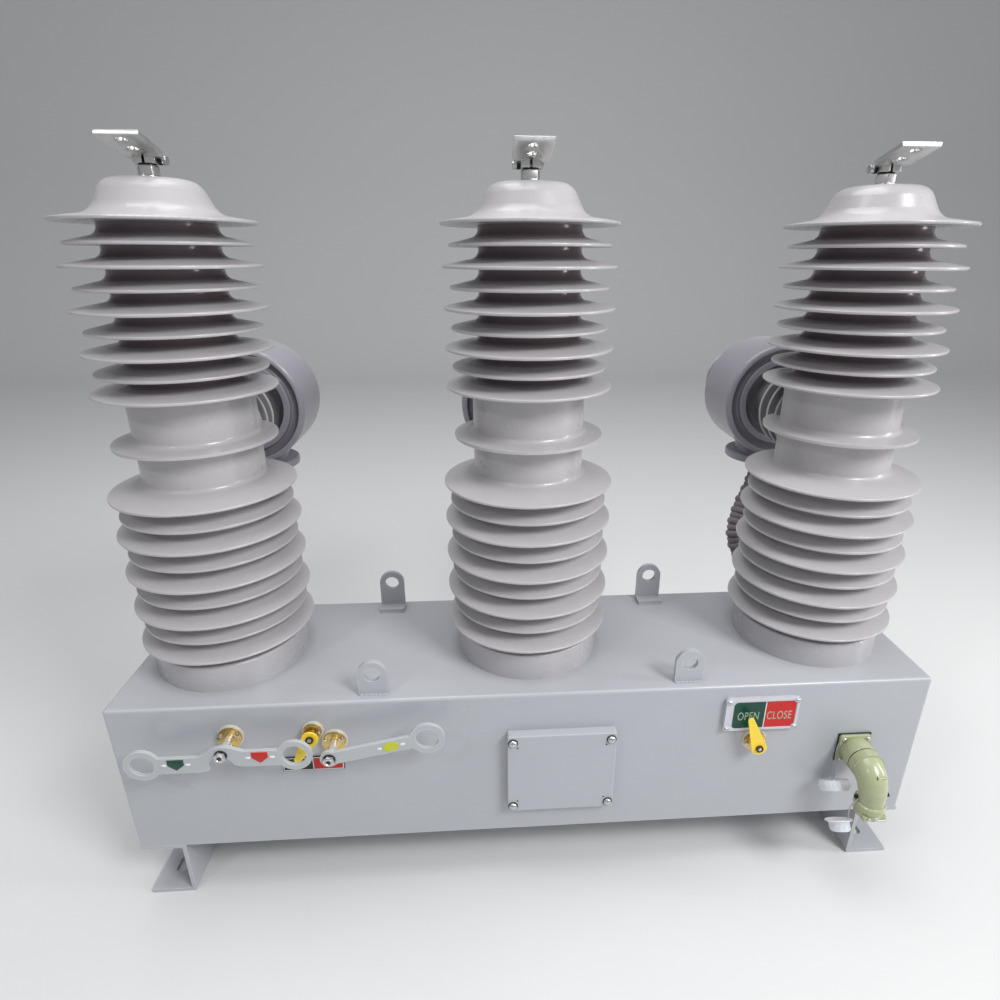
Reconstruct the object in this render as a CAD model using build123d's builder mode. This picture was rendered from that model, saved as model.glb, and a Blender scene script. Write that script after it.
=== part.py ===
"""Three-pole automatic circuit recloser on a low mechanism case, in millimetres.

+X runs along the case to the right, +Y to the rear, where the arms point, and +Z up.
The origin lies on the floor, under the middle of the whole object.
"""
import os
from math import cos, radians, sin, tan

from build123d import *

# Mechanism case and its rails
end_margin = 116.0
case_depth = 236.0
case_height = 219.0
case_edge_radius = 4.0
rail_height = 84.0
rail_flange = 58.0
rail_wall = 5.0
rail_bend_radius = 4.0
slot_width = 14.0
slot_length = 26.0
slot_spacing = 160.0
slot_inset = 26.0

# Poles
pole_spacing = 400.0
pole_offset = 6.0
collar_radius = 95.0
collar_height = 36.0
lower_core_radius = 74.0
lower_large_radius = 106.0
lower_small_radius = 99.0
lower_pitch = 24.1
lower_count = 9
body_radius = 68.0
body_height = 120.0
mid_flange_radius = 91.0
upper_core_radius = 58.5
upper_large_radius = 99.3
upper_small_radius = 91.5
brim_radius = 100.2
upper_pitch = 22.3
upper_count = 9
lower_slope = 11.0
lower_foot_radius = 7.0
upper_slope = 8.0
upper_foot_radius = 10.0
shed_rim = 3.5
shed_rim_radius = 1.5
shed_undercut = 3.0
shed_root_radius = 2.5
collar_edge_radius = 2.0
body_foot_radius = 6.0
dome_height = 41.0
dome_foot_radius = 62.0
dome_foot_rise = 6.0
dome_crown_radius = 46.0
dome_bend_radius = 20.0

# Rear arm and current transformer
arm_root_width = 134.0
arm_root_reach = 30.0
arm_root_corner = 8.0
arm_core_radius = 38.0
arm_shed_radius = 57.0
arm_shed_pitch = 24.0
arm_shed_start = 60.0
arm_front_sheds = 3
arm_rear_sheds = 3
arm_sleeve_radius = 46.0
arm_cap_length = 18.0
arm_foot_radius = 3.0
arm_end_radius = 4.0
transformer_gap = 155.0
transformer_width = 104.0
transformer_radius = 86.0
transformer_edge_radius = 7.0
window_radius = 56.0
window_depth = 16.0
lip_radius = 66.0
lip_edge_radius = 2.0
groove_radius = 78.0
groove_depth = 7.0
groove_floor_radius = 3.0
outlet_disc_radius = 54.0
outlet_disc_height = 12.0
outlet_edge_radius = 3.0
outlet_neck_radius = 40.0
outlet_drop = 102.0
conduit_radius = 11.0
gland_radius = 17.0
gland_length = 14.0
gland_drop = 42.0
gland_chamfer = 3.0
conduit_lead = 40.0
conduit_sway = 42.0
conduit_bend_radius = 24.0

# Terminals
washer_radius = 12.5
washer_height = 2.5
nut_across = 19.0
nut_height = 9.0
clamp_width = 22.0
clamp_depth = 18.0
clamp_height = 10.0
pad_width = 41.5
pad_length = 60.0
pad_thickness = 5.0
pad_tilt = 20.4
pad_corner = 16.0
pad_hole = 11.0
pad_hole_spacing = 20.0
pad_hole_inset = 10.0
clamp_split = 2.5
clamp_edge_radius = 2.0
pad_start = 4.0
pad_rise = 0.5
rear_pad_length = 68.0

# Lifting lugs
lug_width = 36.0
front_lug_height = 47.0
rear_lug_height = 60.0
lug_wall = 6.0
lug_hole = 20.0
lug_foot = 16.0
lug_from_pole = 202.0
lug_bend_radius = 5.0
lug_inset = 12.0

# Inspection cover
cover_width = 139.0
cover_height = 122.0
cover_thickness = 12.0
cover_x = 35.5
cover_drop = 115.5
cover_edge_radius = 3.0

# Handles
handle_gap = 29.0
handle_thickness = 4.0
shaft_radius = 5.5
shaft_depth = 30.0
shaft_clearance = 0.05
hub_radius = 11.0
hub_bolt_height = 5.0
ring_outer = 21.0
ring_inner = 14.0
bushing_radius = 16.0
bushing_height = 6.0
bushing_flange = 2.0
bushing_step = 1.5
rocker_inset = 144.0
rocker_drop = 43.0
rocker_left = (-92.0, -11.0)
rocker_right = (84.0, -5.0)
rocker_width = 22.0
rocker_ring_rise = 1.6
rocker_arch = 24.0
rocker_arch_rise = 3.0
rocker_bend_radius = 18.0
rocker_hub_radius = 8.0
rocker_notch_radius = 15.0
rocker_notch = (-1.5, -17.0)
charge_inset = 268.0
charge_drop = 56.0
charge_reach = 120.0
charge_angle = 11.6
charge_width = 17.0

# Charge indicator
charge_plate_width = 76.0
charge_plate_height = 21.0
charge_plate_inset = 238.0
charge_plate_drop = 91.0
plate_thickness = 1.5
pointer_thickness = 2.0
charge_pointer_inset = 243.0
charge_pointer_drop = 39.5
charge_pointer_length = 36.0
charge_pointer_angle = -120.0
charge_pointer_gap = 15.0
pointer_hub_radius = 10.0
pointer_tip_radius = 4.0
pointer_shaft_radius = 4.0
small_bushing_radius = 13.0
small_bushing_height = 8.0

# Position indicator
window_width = 96.0
window_height = 48.0
window_thickness = 6.0
window_inset = 223.5
window_drop = 41.0
window_chamfer = 4.0
window_border = 3.5
window_recess = 1.0
position_pointer_inset = 226.0
position_pointer_drop = 84.5
position_pointer_length = 47.0
position_pointer_angle = 110.0
position_pointer_gap = 16.0

# Control connector
connector_inset = 88.5
connector_drop = 104.5
gasket_side = 44.0
socket_flange_corner = 3.0
gasket_thickness = 2.0
socket_flange_side = 42.0
socket_flange_thickness = 4.0
socket_barrel_radius = 18.5
socket_neck_radius = 16.5
socket_neck_length = 8.0
socket_barrel_length = 14.0
plug_radius = 20.5
plug_leg_radius = 16.0
plug_bend_radius = 27.0
plug_leg = 11.5
plug_rim_radius = 18.5
plug_rim_height = 8.0
plug_edge_radius = 1.5
cable_clamp_radius = 17.0
cable_clamp_height = 9.0
cable_mouth_radius = 11.0
cable_mouth_depth = 24.0
clamp_ear_width = 30.0
clamp_ear_depth = 8.0
clamp_ear_height = 6.0
clamp_ear_gap = 12.0

# Dust caps
cap_radius = 20.0
cap_height = 13.0
cap_wall = 2.5
cap_side = 27.0
cap_gap = 24.0
cap_drop = 52.0
cap_tilt = 34.0
cup_radius = 13.0
cup_rim_radius = 17.0
cup_rim_height = 2.0
cup_height = 14.0
cup_side = 33.5
cup_gap = 50.0
cup_drop = 86.5
cup_tilt = 24.0
string_radius = 0.8
cord_seat = 0.7
cord_bend = 0.45
cap_cord_rise = 10.0
cap_cord_bends = ((-26.5, 5.0, 6.0), (-27.5, 7.5, -8.0), (-27.3, 12.0, -25.0))
cup_cord_drop = 33.0
cup_cord_bends = ((-26.7, 58.0, -39.0), (-26.9, 57.5, -53.0))
cup_cord_end = (9.0, -13.2, 0.0)

# Places worked out from the sizes above
case_width = 2 * pole_spacing + 2 * end_margin
case_left = -case_width / 2
case_right = case_width / 2
case_bottom = rail_height
case_top = case_bottom + case_height
socket_length = socket_flange_thickness + socket_neck_length + socket_barrel_length
plug_start = gasket_thickness + socket_length
plug_axis_gap = plug_start + plug_bend_radius
front_reach = case_depth / 2 + plug_axis_gap + plug_rim_radius
rear_sheds_start = transformer_gap + transformer_width + arm_shed_pitch
arm_end = rear_sheds_start + (arm_rear_sheds - 1) * arm_shed_pitch + arm_cap_length
rear_pad_reach = washer_height + nut_height - pad_start + rear_pad_length
rear_reach = pole_offset + arm_end + rear_pad_reach
case_y = (front_reach - rear_reach) / 2
front_y = case_y - case_depth / 2
rear_y = case_y + case_depth / 2
pole_y = case_y + pole_offset
pole_places = {"left": -pole_spacing, "middle": 0.0, "right": pole_spacing}
lower_start = case_top + collar_height + lower_pitch / 2
lower_top = lower_start + (lower_count - 1) * lower_pitch
upper_start = lower_top + body_height
brim_z = upper_start + (upper_count - 1) * upper_pitch
dome_top = brim_z + dome_height
arm_z = (lower_top + upper_start) / 2
transformer_y = pole_y + transformer_gap
arm_end_y = pole_y + arm_end
outlet_z = arm_z - outlet_drop
lug_x = pole_spacing - lug_from_pole
cover_z = case_top - cover_drop
rocker_x = case_left + rocker_inset
rocker_z = case_top - rocker_drop
charge_x = case_left + charge_inset
charge_z = case_top - charge_drop
charge_plate_x = case_left + charge_plate_inset
charge_plate_z = case_top - charge_plate_drop
charge_pointer_x = case_left + charge_pointer_inset
charge_pointer_z = case_top - charge_pointer_drop
window_x = case_right - window_inset
window_z = case_top - window_drop
position_pointer_x = case_right - position_pointer_inset
position_pointer_z = case_top - position_pointer_drop
connector_x = case_right - connector_inset
connector_z = case_top - connector_drop
cap_x = connector_x - cap_side
cap_z = connector_z - cap_drop
cup_x = connector_x - cup_side
cup_z = connector_z - cup_drop


def front_plane(gap):
    """Plane in front of the case whose sketch axes are X and Z."""
    return Plane(origin=(0, front_y - gap, 0), x_dir=(1, 0, 0), z_dir=(0, -1, 0))


def save(part, name):
    part.label = name
    export_step(part, f"parts/{name}.step")


def shed_corners(core, rim, height, slope, foot_radius, rim_radius=shed_rim_radius):
    """Corners of one shed on a core, each as a point and its rounding, from the underside up."""
    low = height - shed_rim / 2
    high = height + shed_rim / 2
    return [
        ((core, low + shed_undercut), shed_root_radius),
        ((rim, low), rim_radius),
        ((rim, high), rim_radius),
        ((core, high + slope), foot_radius),
    ]


def lower_corners():
    """Corners of the collar and of the lower sheds, up to the body."""
    collar_top = case_top + collar_height
    corners = [
        ((collar_radius, case_top), 0),
        ((collar_radius, collar_top), collar_edge_radius),
        ((lower_core_radius, collar_top), shed_root_radius),
    ]
    for index in range(lower_count):
        rim = lower_large_radius if index % 2 == 0 else lower_small_radius
        height = lower_start + index * lower_pitch
        corners += shed_corners(lower_core_radius, rim, height, lower_slope, lower_foot_radius)
    top_height = corners[-1][0][1]
    corners[-1] = ((body_radius, top_height), body_foot_radius)
    return corners


def upper_corners():
    """Corners of the thin square-edged ring on the body and of the upper sheds, up to below the brim."""
    corners = shed_corners(body_radius, mid_flange_radius, arm_z, shed_undercut, body_foot_radius, 0)
    for index in range(upper_count - 1):
        rim = upper_large_radius if index % 2 == 0 else upper_small_radius
        height = upper_start + index * upper_pitch
        shed = shed_corners(upper_core_radius, rim, height, upper_slope, upper_foot_radius)
        if index == 0:
            shed[0] = ((body_radius, shed[0][0][1]), shed_root_radius)
        corners += shed
    return corners


def dome_corners():
    """Corners of the brim, which is the top shed, and of the dome that rises from it."""
    foot_z = brim_z + shed_rim / 2 + dome_foot_rise
    brim = shed_corners(upper_core_radius, brim_radius, brim_z, 0, 0)[:3]
    return brim + [
        ((dome_foot_radius, foot_z), dome_bend_radius),
        ((dome_crown_radius, dome_top), dome_bend_radius),
    ]


def arm_corners():
    """Corners of an arm's half outline as radius and distance from the pole axis."""
    sleeve_start = transformer_gap + window_depth
    sleeve_end = transformer_gap + transformer_width - window_depth
    corners = []
    for index in range(arm_front_sheds):
        corners += arm_shed(arm_shed_start + index * arm_shed_pitch)
    corners += [((arm_core_radius, sleeve_start), 0), ((arm_sleeve_radius, sleeve_start), 0)]
    corners += [((arm_sleeve_radius, sleeve_end), 0), ((arm_core_radius, sleeve_end), 0)]
    for index in range(arm_rear_sheds):
        corners += arm_shed(rear_sheds_start + index * arm_shed_pitch)
    return corners + [((arm_core_radius, arm_end), arm_end_radius)]


def arm_shed(middle):
    """Corners of one arm shed, whose two faces slope alike."""
    foot = shed_rim / 2 + shed_undercut
    return [
        ((arm_core_radius, middle - foot), arm_foot_radius),
        ((arm_shed_radius, middle - shed_rim / 2), shed_rim_radius),
        ((arm_shed_radius, middle + shed_rim / 2), shed_rim_radius),
        ((arm_core_radius, middle + foot), arm_foot_radius),
    ]


def make_case():
    with BuildPart() as case:
        with BuildSketch(Plane.XY.offset(case_bottom)):
            with Locations((0, case_y)):
                Rectangle(case_width, case_depth)
        extrude(amount=case_height)
        outer = case.edges().filter_by(Axis.Z) + case.faces().sort_by(Axis.Z)[-1].edges()
        fillet(outer, radius=case_edge_radius)
        with BuildSketch(front_plane(0)):
            with Locations((rocker_x, rocker_z), (charge_x, charge_z)):
                Circle(shaft_radius + shaft_clearance)
            with Locations((charge_pointer_x, charge_pointer_z), (position_pointer_x, position_pointer_z)):
                Circle(pointer_shaft_radius + shaft_clearance)
        extrude(amount=-shaft_depth - shaft_clearance, mode=Mode.SUBTRACT)
    save(case.part, "mechanism_case")


def make_rail(name, side):
    """C-channel along the depth, open outward, with a slot near each end of its foot."""
    outer_x = side * case_width / 2
    inner_x = outer_x - side * rail_flange
    with BuildPart() as rail:
        with BuildSketch(Plane.XZ.offset(-rear_y)):
            with BuildLine():
                Polyline(
                    (outer_x, 0),
                    (inner_x, 0),
                    (inner_x, rail_height),
                    (outer_x, rail_height),
                    (outer_x, rail_height - rail_wall),
                    (inner_x + side * rail_wall, rail_height - rail_wall),
                    (inner_x + side * rail_wall, rail_wall),
                    (outer_x, rail_wall),
                    close=True,
                )
            make_face()
        extrude(amount=case_depth)
        bends = rail.edges().filter_by(Axis.Y).group_by(lambda edge: side * edge.center().X)[0]
        fillet(bends, radius=rail_bend_radius)
        with BuildSketch(Plane.XY):
            with Locations((outer_x - side * slot_inset, case_y)):
                with GridLocations(0, slot_spacing, 1, 2):
                    SlotOverall(slot_length, slot_width, rotation=90)
        extrude(amount=rail_wall, mode=Mode.SUBTRACT)
    save(rail.part, name)


def make_lug(name, x, y, height, foot):
    """Lifting eye of flat bar whose rear face stands at y; its foot turns to the front."""
    eye_z = case_top + height - lug_width / 2
    with BuildPart() as lug:
        with BuildSketch(Plane.XZ.offset(-y)):
            with Locations((x, (case_top + eye_z) / 2)):
                Rectangle(lug_width, eye_z - case_top)
            with Locations((x, eye_z)):
                Circle(lug_width / 2)
                Circle(lug_hole / 2, mode=Mode.SUBTRACT)
        extrude(amount=lug_wall)
        if foot > 0:
            with BuildSketch(Plane.XY.offset(case_top)):
                with Locations((x, y - (foot + lug_wall) / 2)):
                    Rectangle(lug_width, foot + lug_wall)
            extrude(amount=lug_wall)
            bend = lug.edges().filter_by(Axis.X).group_by(Axis.Z)[0].sort_by(Axis.Y)[-1]
            fillet(bend, radius=lug_bend_radius)
    save(lug.part, name)


def make_pole(name, x):
    """One moulded pole: collar, sheds, body, dome and the arm that leaves it."""
    axial = lower_corners() + upper_corners() + dome_corners()
    along = arm_corners()
    axis_plane = Plane(origin=(x, pole_y, 0), x_dir=(1, 0, 0), z_dir=(0, -1, 0))
    arm_plane = Plane(origin=(x, pole_y, arm_z), x_dir=(1, 0, 0), z_dir=(0, 0, 1))
    with BuildPart() as pole:
        with BuildSketch(axis_plane):
            with BuildLine():
                FilletPolyline(
                    (0, case_top),
                    *[point for point, radius in axial],
                    (0, dome_top),
                    radius=[radius for point, radius in axial],
                )
                Line((0, dome_top), (0, case_top))
            make_face()
        revolve(axis=Axis((x, pole_y, 0), (0, 0, 1)))
        with BuildSketch(Plane.XY.offset(lower_top)) as root:
            with Locations((x, pole_y + arm_root_reach / 2)):
                Rectangle(arm_root_width, arm_root_reach)
            fillet(root.vertices().group_by(Axis.Y)[-1], radius=arm_root_corner)
        extrude(amount=upper_start + shed_rim - lower_top)
        with BuildSketch(arm_plane):
            with BuildLine():
                FilletPolyline(
                    (0, 0),
                    (arm_core_radius, 0),
                    *[point for point, radius in along],
                    (0, arm_end),
                    radius=[0] + [radius for point, radius in along],
                )
                Line((0, arm_end), (0, 0))
            make_face()
        revolve(axis=Axis((x, pole_y, arm_z), (0, 1, 0)))
    save(pole.part, name)


def make_transformer(name, x):
    """Ring-type current transformer on the arm, with its lead outlet below."""
    ring_plane = Plane(origin=(x, transformer_y, arm_z), x_dir=(1, 0, 0), z_dir=(0, 0, 1))
    middle_y = transformer_y + transformer_width / 2
    back = transformer_width
    corners = [
        ((arm_sleeve_radius + shaft_clearance, window_depth), 0),
        ((window_radius, window_depth), 0),
        ((window_radius, 0), lip_edge_radius),
        ((lip_radius, 0), lip_edge_radius),
        ((lip_radius, groove_depth), groove_floor_radius),
        ((groove_radius, groove_depth), groove_floor_radius),
        ((groove_radius, 0), 0),
        ((transformer_radius, 0), transformer_edge_radius),
        ((transformer_radius, back), transformer_edge_radius),
        ((window_radius, back), lip_edge_radius),
        ((window_radius, back - window_depth), 0),
        ((arm_sleeve_radius + shaft_clearance, back - window_depth), 0),
    ]
    with BuildPart() as transformer:
        with BuildSketch(ring_plane):
            with BuildLine():
                FilletPolyline(
                    *[point for point, radius in corners],
                    radius=[radius for point, radius in corners],
                    close=True,
                )
            make_face()
        revolve(axis=Axis((x, 0, arm_z), (0, 1, 0)))
        with BuildSketch(Plane.XY.offset(outlet_z)):
            with Locations((x, middle_y)):
                Circle(outlet_disc_radius)
        disc = extrude(amount=outlet_disc_height, mode=Mode.PRIVATE)
        add(disc.fillet(outlet_edge_radius, disc.edges()))
        with BuildSketch(Plane.XY.offset(outlet_z + outlet_disc_height)):
            with Locations((x, middle_y)):
                Circle(outlet_neck_radius)
        neck_top = arm_z - (transformer_radius + window_radius) / 2
        extrude(amount=neck_top - outlet_z - outlet_disc_height)
    save(transformer.part, name)


def make_lead_conduit(name, x):
    """Conduit that carries the transformer leads down and into the rear of the case."""
    start_y = transformer_y + transformer_width / 2
    gland_face_y = rear_y + gland_length
    gland_z = case_top - gland_drop
    run_y = gland_face_y + conduit_lead
    points = [
        (x, start_y, outlet_z),
        (x, start_y, outlet_z - conduit_lead),
        (x - conduit_sway, (start_y + run_y) / 2, outlet_z - conduit_lead - conduit_sway),
        (x - conduit_sway, run_y, (outlet_z + gland_z) / 2),
        (x, run_y, gland_z + conduit_lead),
        (x, run_y, gland_z),
        (x, gland_face_y, gland_z),
    ]
    with BuildPart() as conduit:
        with BuildLine() as route:
            FilletPolyline(*points, radius=conduit_bend_radius)
        with BuildSketch(Plane(origin=points[0], z_dir=(0, 0, -1))):
            Circle(conduit_radius)
        sweep(path=route.line)
    save(conduit.part, name)


def make_gland(name, x):
    """Round gland that seats the conduit in the rear wall of the case."""
    with BuildPart() as gland:
        with BuildSketch(Plane(origin=(x, rear_y, case_top - gland_drop), z_dir=(0, 1, 0))):
            Circle(gland_radius)
        extrude(amount=gland_length)
        chamfer(gland.faces().sort_by(Axis.Y)[-1].edges(), length=gland_chamfer)
    save(gland.part, name)


def pad_sketch(width, length):
    """Terminal pad outline with two holes, its far edge square and its near end rounded."""
    with BuildSketch(mode=Mode.PRIVATE) as pad:
        with BuildLine():
            FilletPolyline(
                (width / 2, length),
                (width / 2, 0),
                (-width / 2, 0),
                (-width / 2, length),
                radius=pad_corner,
            )
            Line((-width / 2, length), (width / 2, length))
        make_face()
        with Locations((0, length - pad_hole_inset), (0, length - pad_hole_inset - pad_hole_spacing)):
            Circle(pad_hole / 2, mode=Mode.SUBTRACT)
    return pad.sketch


def make_top_terminal(name, x):
    """Washer, nut, stud clamp and inclined pad on the crown of a pole."""
    slope = radians(pad_tilt)
    clamp_z = dome_top + washer_height + nut_height
    pad_plane = Plane(
        origin=(x, pole_y - pad_start, clamp_z + pad_rise),
        x_dir=(1, 0, 0),
        z_dir=(0, -sin(slope), -cos(slope)),
    )
    with BuildPart() as terminal:
        with BuildSketch(Plane.XY.offset(dome_top)):
            with Locations((x, pole_y)):
                Circle(washer_radius)
        extrude(amount=washer_height)
        with BuildSketch(Plane.XY.offset(dome_top + washer_height)):
            with Locations((x, pole_y)):
                RegularPolygon(nut_across / 2, 6, major_radius=False)
        extrude(amount=nut_height)
        with BuildSketch(Plane.XY.offset(clamp_z)):
            with Locations((x, pole_y)):
                RectangleRounded(clamp_width, clamp_depth, clamp_edge_radius)
            with Locations((x, pole_y - clamp_depth / 4)):
                Rectangle(clamp_split, clamp_depth / 2, mode=Mode.SUBTRACT)
        extrude(amount=clamp_height)
        with BuildSketch(pad_plane):
            add(pad_sketch(pad_width, pad_length))
        extrude(amount=-pad_thickness)
    save(terminal.part, name)


def make_rear_terminal(name, x):
    """Washer, nut and flat two-hole pad on the end of an arm."""
    nut_y = arm_end_y + washer_height
    pad_origin = (x, nut_y + nut_height - pad_start, arm_z - pad_thickness / 2)
    with BuildPart() as terminal:
        with BuildSketch(Plane(origin=(x, arm_end_y, arm_z), x_dir=(1, 0, 0), z_dir=(0, 1, 0))):
            Circle(washer_radius)
        extrude(amount=washer_height)
        with BuildSketch(Plane(origin=(x, nut_y, arm_z), x_dir=(1, 0, 0), z_dir=(0, 1, 0))):
            RegularPolygon(nut_across / 2, 6, major_radius=False)
        extrude(amount=nut_height)
        with BuildSketch(Plane(origin=pad_origin, x_dir=(1, 0, 0), z_dir=(0, 0, 1))):
            add(pad_sketch(pad_width, rear_pad_length))
        extrude(amount=pad_thickness)
    save(terminal.part, name)


def make_cover():
    """Folded inspection cover on the front wall."""
    with BuildPart() as cover:
        with BuildSketch(front_plane(0)):
            with Locations((cover_x, cover_z)):
                Rectangle(cover_width, cover_height)
        extrude(amount=cover_thickness)
        fillet(cover.edges().filter_by(Axis.Y), radius=cover_edge_radius)
        fillet(cover.faces().sort_by(Axis.Y)[0].edges(), radius=cover_edge_radius / 2)
    save(cover.part, "inspection_cover")


def make_bushing(name, x, z, radius, height, bore):
    """Flanged bushing on the front wall round a shaft, its disc a step smaller than its flange."""
    with BuildPart() as bushing:
        for disc_radius, disc_height in ((radius, bushing_flange), (radius - bushing_step, height)):
            with BuildSketch(front_plane(0)):
                with Locations((x, z)):
                    Circle(disc_radius)
                    Circle(bore + shaft_clearance, mode=Mode.SUBTRACT)
            extrude(amount=disc_height)
    save(bushing.part, name)


def make_rocker():
    """Trip and close handle: one plate with a ring at each end, arched over its hub."""
    left = (rocker_x + rocker_left[0], rocker_z + rocker_left[1])
    right = (rocker_x + rocker_right[0], rocker_z + rocker_right[1])
    with BuildPart() as rocker:
        with BuildSketch(front_plane(handle_gap)):
            with BuildLine():
                FilletPolyline(
                    (left[0], left[1] - rocker_ring_rise),
                    (rocker_x - rocker_arch, left[1] - rocker_ring_rise),
                    (rocker_x, rocker_z + rocker_arch_rise),
                    (rocker_x + rocker_arch, right[1] - rocker_ring_rise),
                    (right[0], right[1] - rocker_ring_rise),
                    radius=rocker_bend_radius,
                )
            trace(line_width=rocker_width)
            with Locations((rocker_x + rocker_notch[0], rocker_z + rocker_notch[1])):
                Circle(rocker_notch_radius, mode=Mode.SUBTRACT)
            with Locations((rocker_x, rocker_z)):
                Circle(rocker_hub_radius)
            with Locations(left, right):
                Circle(ring_outer)
                Circle(ring_inner, mode=Mode.SUBTRACT)
        extrude(amount=handle_thickness)
        with BuildSketch(front_plane(-shaft_depth)):
            with Locations((rocker_x, rocker_z)):
                Circle(shaft_radius)
        extrude(amount=shaft_depth + handle_gap + handle_thickness + hub_bolt_height)
    save(rocker.part, "trip_close_handle")


def make_charging_handle():
    """Spring charging handle: an arm from its hub to one ring."""
    angle = radians(charge_angle)
    ring = (charge_x + charge_reach * cos(angle), charge_z + charge_reach * sin(angle))
    with BuildPart() as handle:
        with BuildSketch(front_plane(handle_gap)):
            with BuildLine():
                Line((charge_x, charge_z), ring)
            trace(line_width=charge_width)
            with Locations((charge_x, charge_z)):
                Circle(hub_radius)
            with Locations(ring):
                Circle(ring_outer)
                Circle(ring_inner, mode=Mode.SUBTRACT)
        extrude(amount=handle_thickness)
        with BuildSketch(front_plane(-shaft_depth)):
            with Locations((charge_x, charge_z)):
                Circle(shaft_radius)
        extrude(amount=shaft_depth + handle_gap + handle_thickness + hub_bolt_height)
    save(handle.part, "charging_handle")


def make_pointer(name, x, z, length, angle, gap):
    """Tapered pointer with a round hub on its own shaft."""
    turn = radians(angle)
    tip = (x + length * cos(turn), z + length * sin(turn))
    with BuildPart() as pointer:
        with BuildSketch(front_plane(gap)):
            with Locations((x, z)):
                Circle(pointer_hub_radius)
            with Locations(tip):
                Circle(pointer_tip_radius)
            make_hull()
        extrude(amount=pointer_thickness)
        with BuildSketch(front_plane(-shaft_depth)):
            with Locations((x, z)):
                Circle(pointer_shaft_radius)
        extrude(amount=shaft_depth + gap + 2 * pointer_thickness)
    save(pointer.part, name)


def make_charge_plate():
    with BuildPart() as plate:
        with BuildSketch(front_plane(0)):
            with Locations((charge_plate_x, charge_plate_z)):
                Rectangle(charge_plate_width, charge_plate_height)
        extrude(amount=plate_thickness)
    save(plate.part, "charge_indicator_plate")


def make_position_window():
    """Shallow box on the front wall whose face is recessed inside a narrow border."""
    with BuildPart() as window:
        with BuildSketch(front_plane(0)):
            with Locations((window_x, window_z)):
                Rectangle(window_width, window_height)
        extrude(amount=window_thickness)
        chamfer(window.edges().filter_by(Axis.Y), length=window_chamfer)
        with BuildSketch(front_plane(window_thickness)) as field:
            add(window.faces().sort_by(Axis.Y)[0])
            offset(amount=-window_border, kind=Kind.INTERSECTION, mode=Mode.REPLACE)
        extrude(amount=-window_recess, mode=Mode.SUBTRACT)
    save(window.part, "position_indicator_window")


def make_connector():
    """Gasket, socket, angled plug and cable clamp of the control connector."""
    with BuildPart() as gasket:
        with BuildSketch(front_plane(0)):
            with Locations((connector_x, connector_z)):
                Rectangle(gasket_side, gasket_side)
        extrude(amount=gasket_thickness)
    save(gasket.part, "connector_gasket")
    with BuildPart() as socket:
        with BuildSketch(front_plane(gasket_thickness)):
            with Locations((connector_x, connector_z)):
                Rectangle(socket_flange_side, socket_flange_side)
        extrude(amount=socket_flange_thickness)
        fillet(socket.edges().filter_by(Axis.Y), radius=socket_flange_corner)
        with BuildSketch(front_plane(gasket_thickness + socket_flange_thickness)):
            with Locations((connector_x, connector_z)):
                Circle(socket_neck_radius)
        extrude(amount=socket_neck_length)
        with BuildSketch(front_plane(plug_start - socket_barrel_length)):
            with Locations((connector_x, connector_z)):
                Circle(socket_barrel_radius)
        extrude(amount=socket_barrel_length)
    save(socket.part, "connector_socket")
    start_y = front_y - plug_start
    leg_y = front_y - plug_axis_gap
    leg_top_z = connector_z - plug_bend_radius
    clamp_top = leg_top_z - plug_leg - plug_rim_height
    clamp_bottom = clamp_top - cable_clamp_height
    half_bend = plug_bend_radius * sin(radians(45))
    with BuildPart() as plug:
        with BuildLine() as route:
            ThreePointArc(
                (connector_x, start_y, connector_z),
                (connector_x, start_y - half_bend, leg_top_z + half_bend),
                (connector_x, leg_y, leg_top_z),
            )
        with BuildSketch(front_plane(plug_start)) as start:
            with Locations((connector_x, connector_z)):
                Circle(plug_radius)
        with BuildSketch(Plane(origin=(connector_x, leg_y, leg_top_z), z_dir=(0, 0, -1))) as end:
            Circle(plug_leg_radius)
        sweep([start.sketch, end.sketch], path=route.line, multisection=True)
        with BuildSketch(Plane.XY.offset(clamp_top + plug_rim_height)):
            with Locations((connector_x, leg_y)):
                Circle(plug_leg_radius)
        extrude(amount=plug_leg)
        with BuildSketch(Plane.XY.offset(clamp_top)):
            with Locations((connector_x, leg_y)):
                Circle(plug_rim_radius)
        rim = extrude(amount=plug_rim_height, mode=Mode.PRIVATE)
        add(rim.fillet(plug_edge_radius, rim.edges()))
        with BuildSketch(Plane.XY.offset(clamp_bottom)):
            with Locations((connector_x, leg_y)):
                Circle(cable_mouth_radius)
        extrude(amount=cable_mouth_depth, mode=Mode.SUBTRACT)
    save(plug.part, "connector_plug")
    with BuildPart() as clamp:
        with BuildSketch(Plane.XY.offset(clamp_bottom)):
            with Locations((connector_x, leg_y)):
                Circle(cable_clamp_radius)
        extrude(amount=cable_clamp_height)
        with BuildSketch(Plane.XY.offset(clamp_bottom)):
            with Locations((connector_x, leg_y - clamp_ear_gap)):
                RectangleRounded(clamp_ear_width, clamp_ear_depth, clamp_edge_radius)
        extrude(amount=clamp_ear_height)
        with BuildSketch(Plane.XY.offset(clamp_bottom)):
            with Locations((connector_x, leg_y)):
                Circle(cable_mouth_radius)
        extrude(amount=cable_clamp_height, mode=Mode.SUBTRACT)
    save(clamp.part, "connector_cable_clamp")


def hanging_plane(x, gap, z, tilt):
    """Plane of a hanging cap, its normal tilted back from the vertical."""
    slope = radians(tilt)
    return Plane(origin=(x, front_y - gap, z), x_dir=(1, 0, 0), z_dir=(0, sin(slope), cos(slope)))


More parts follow.
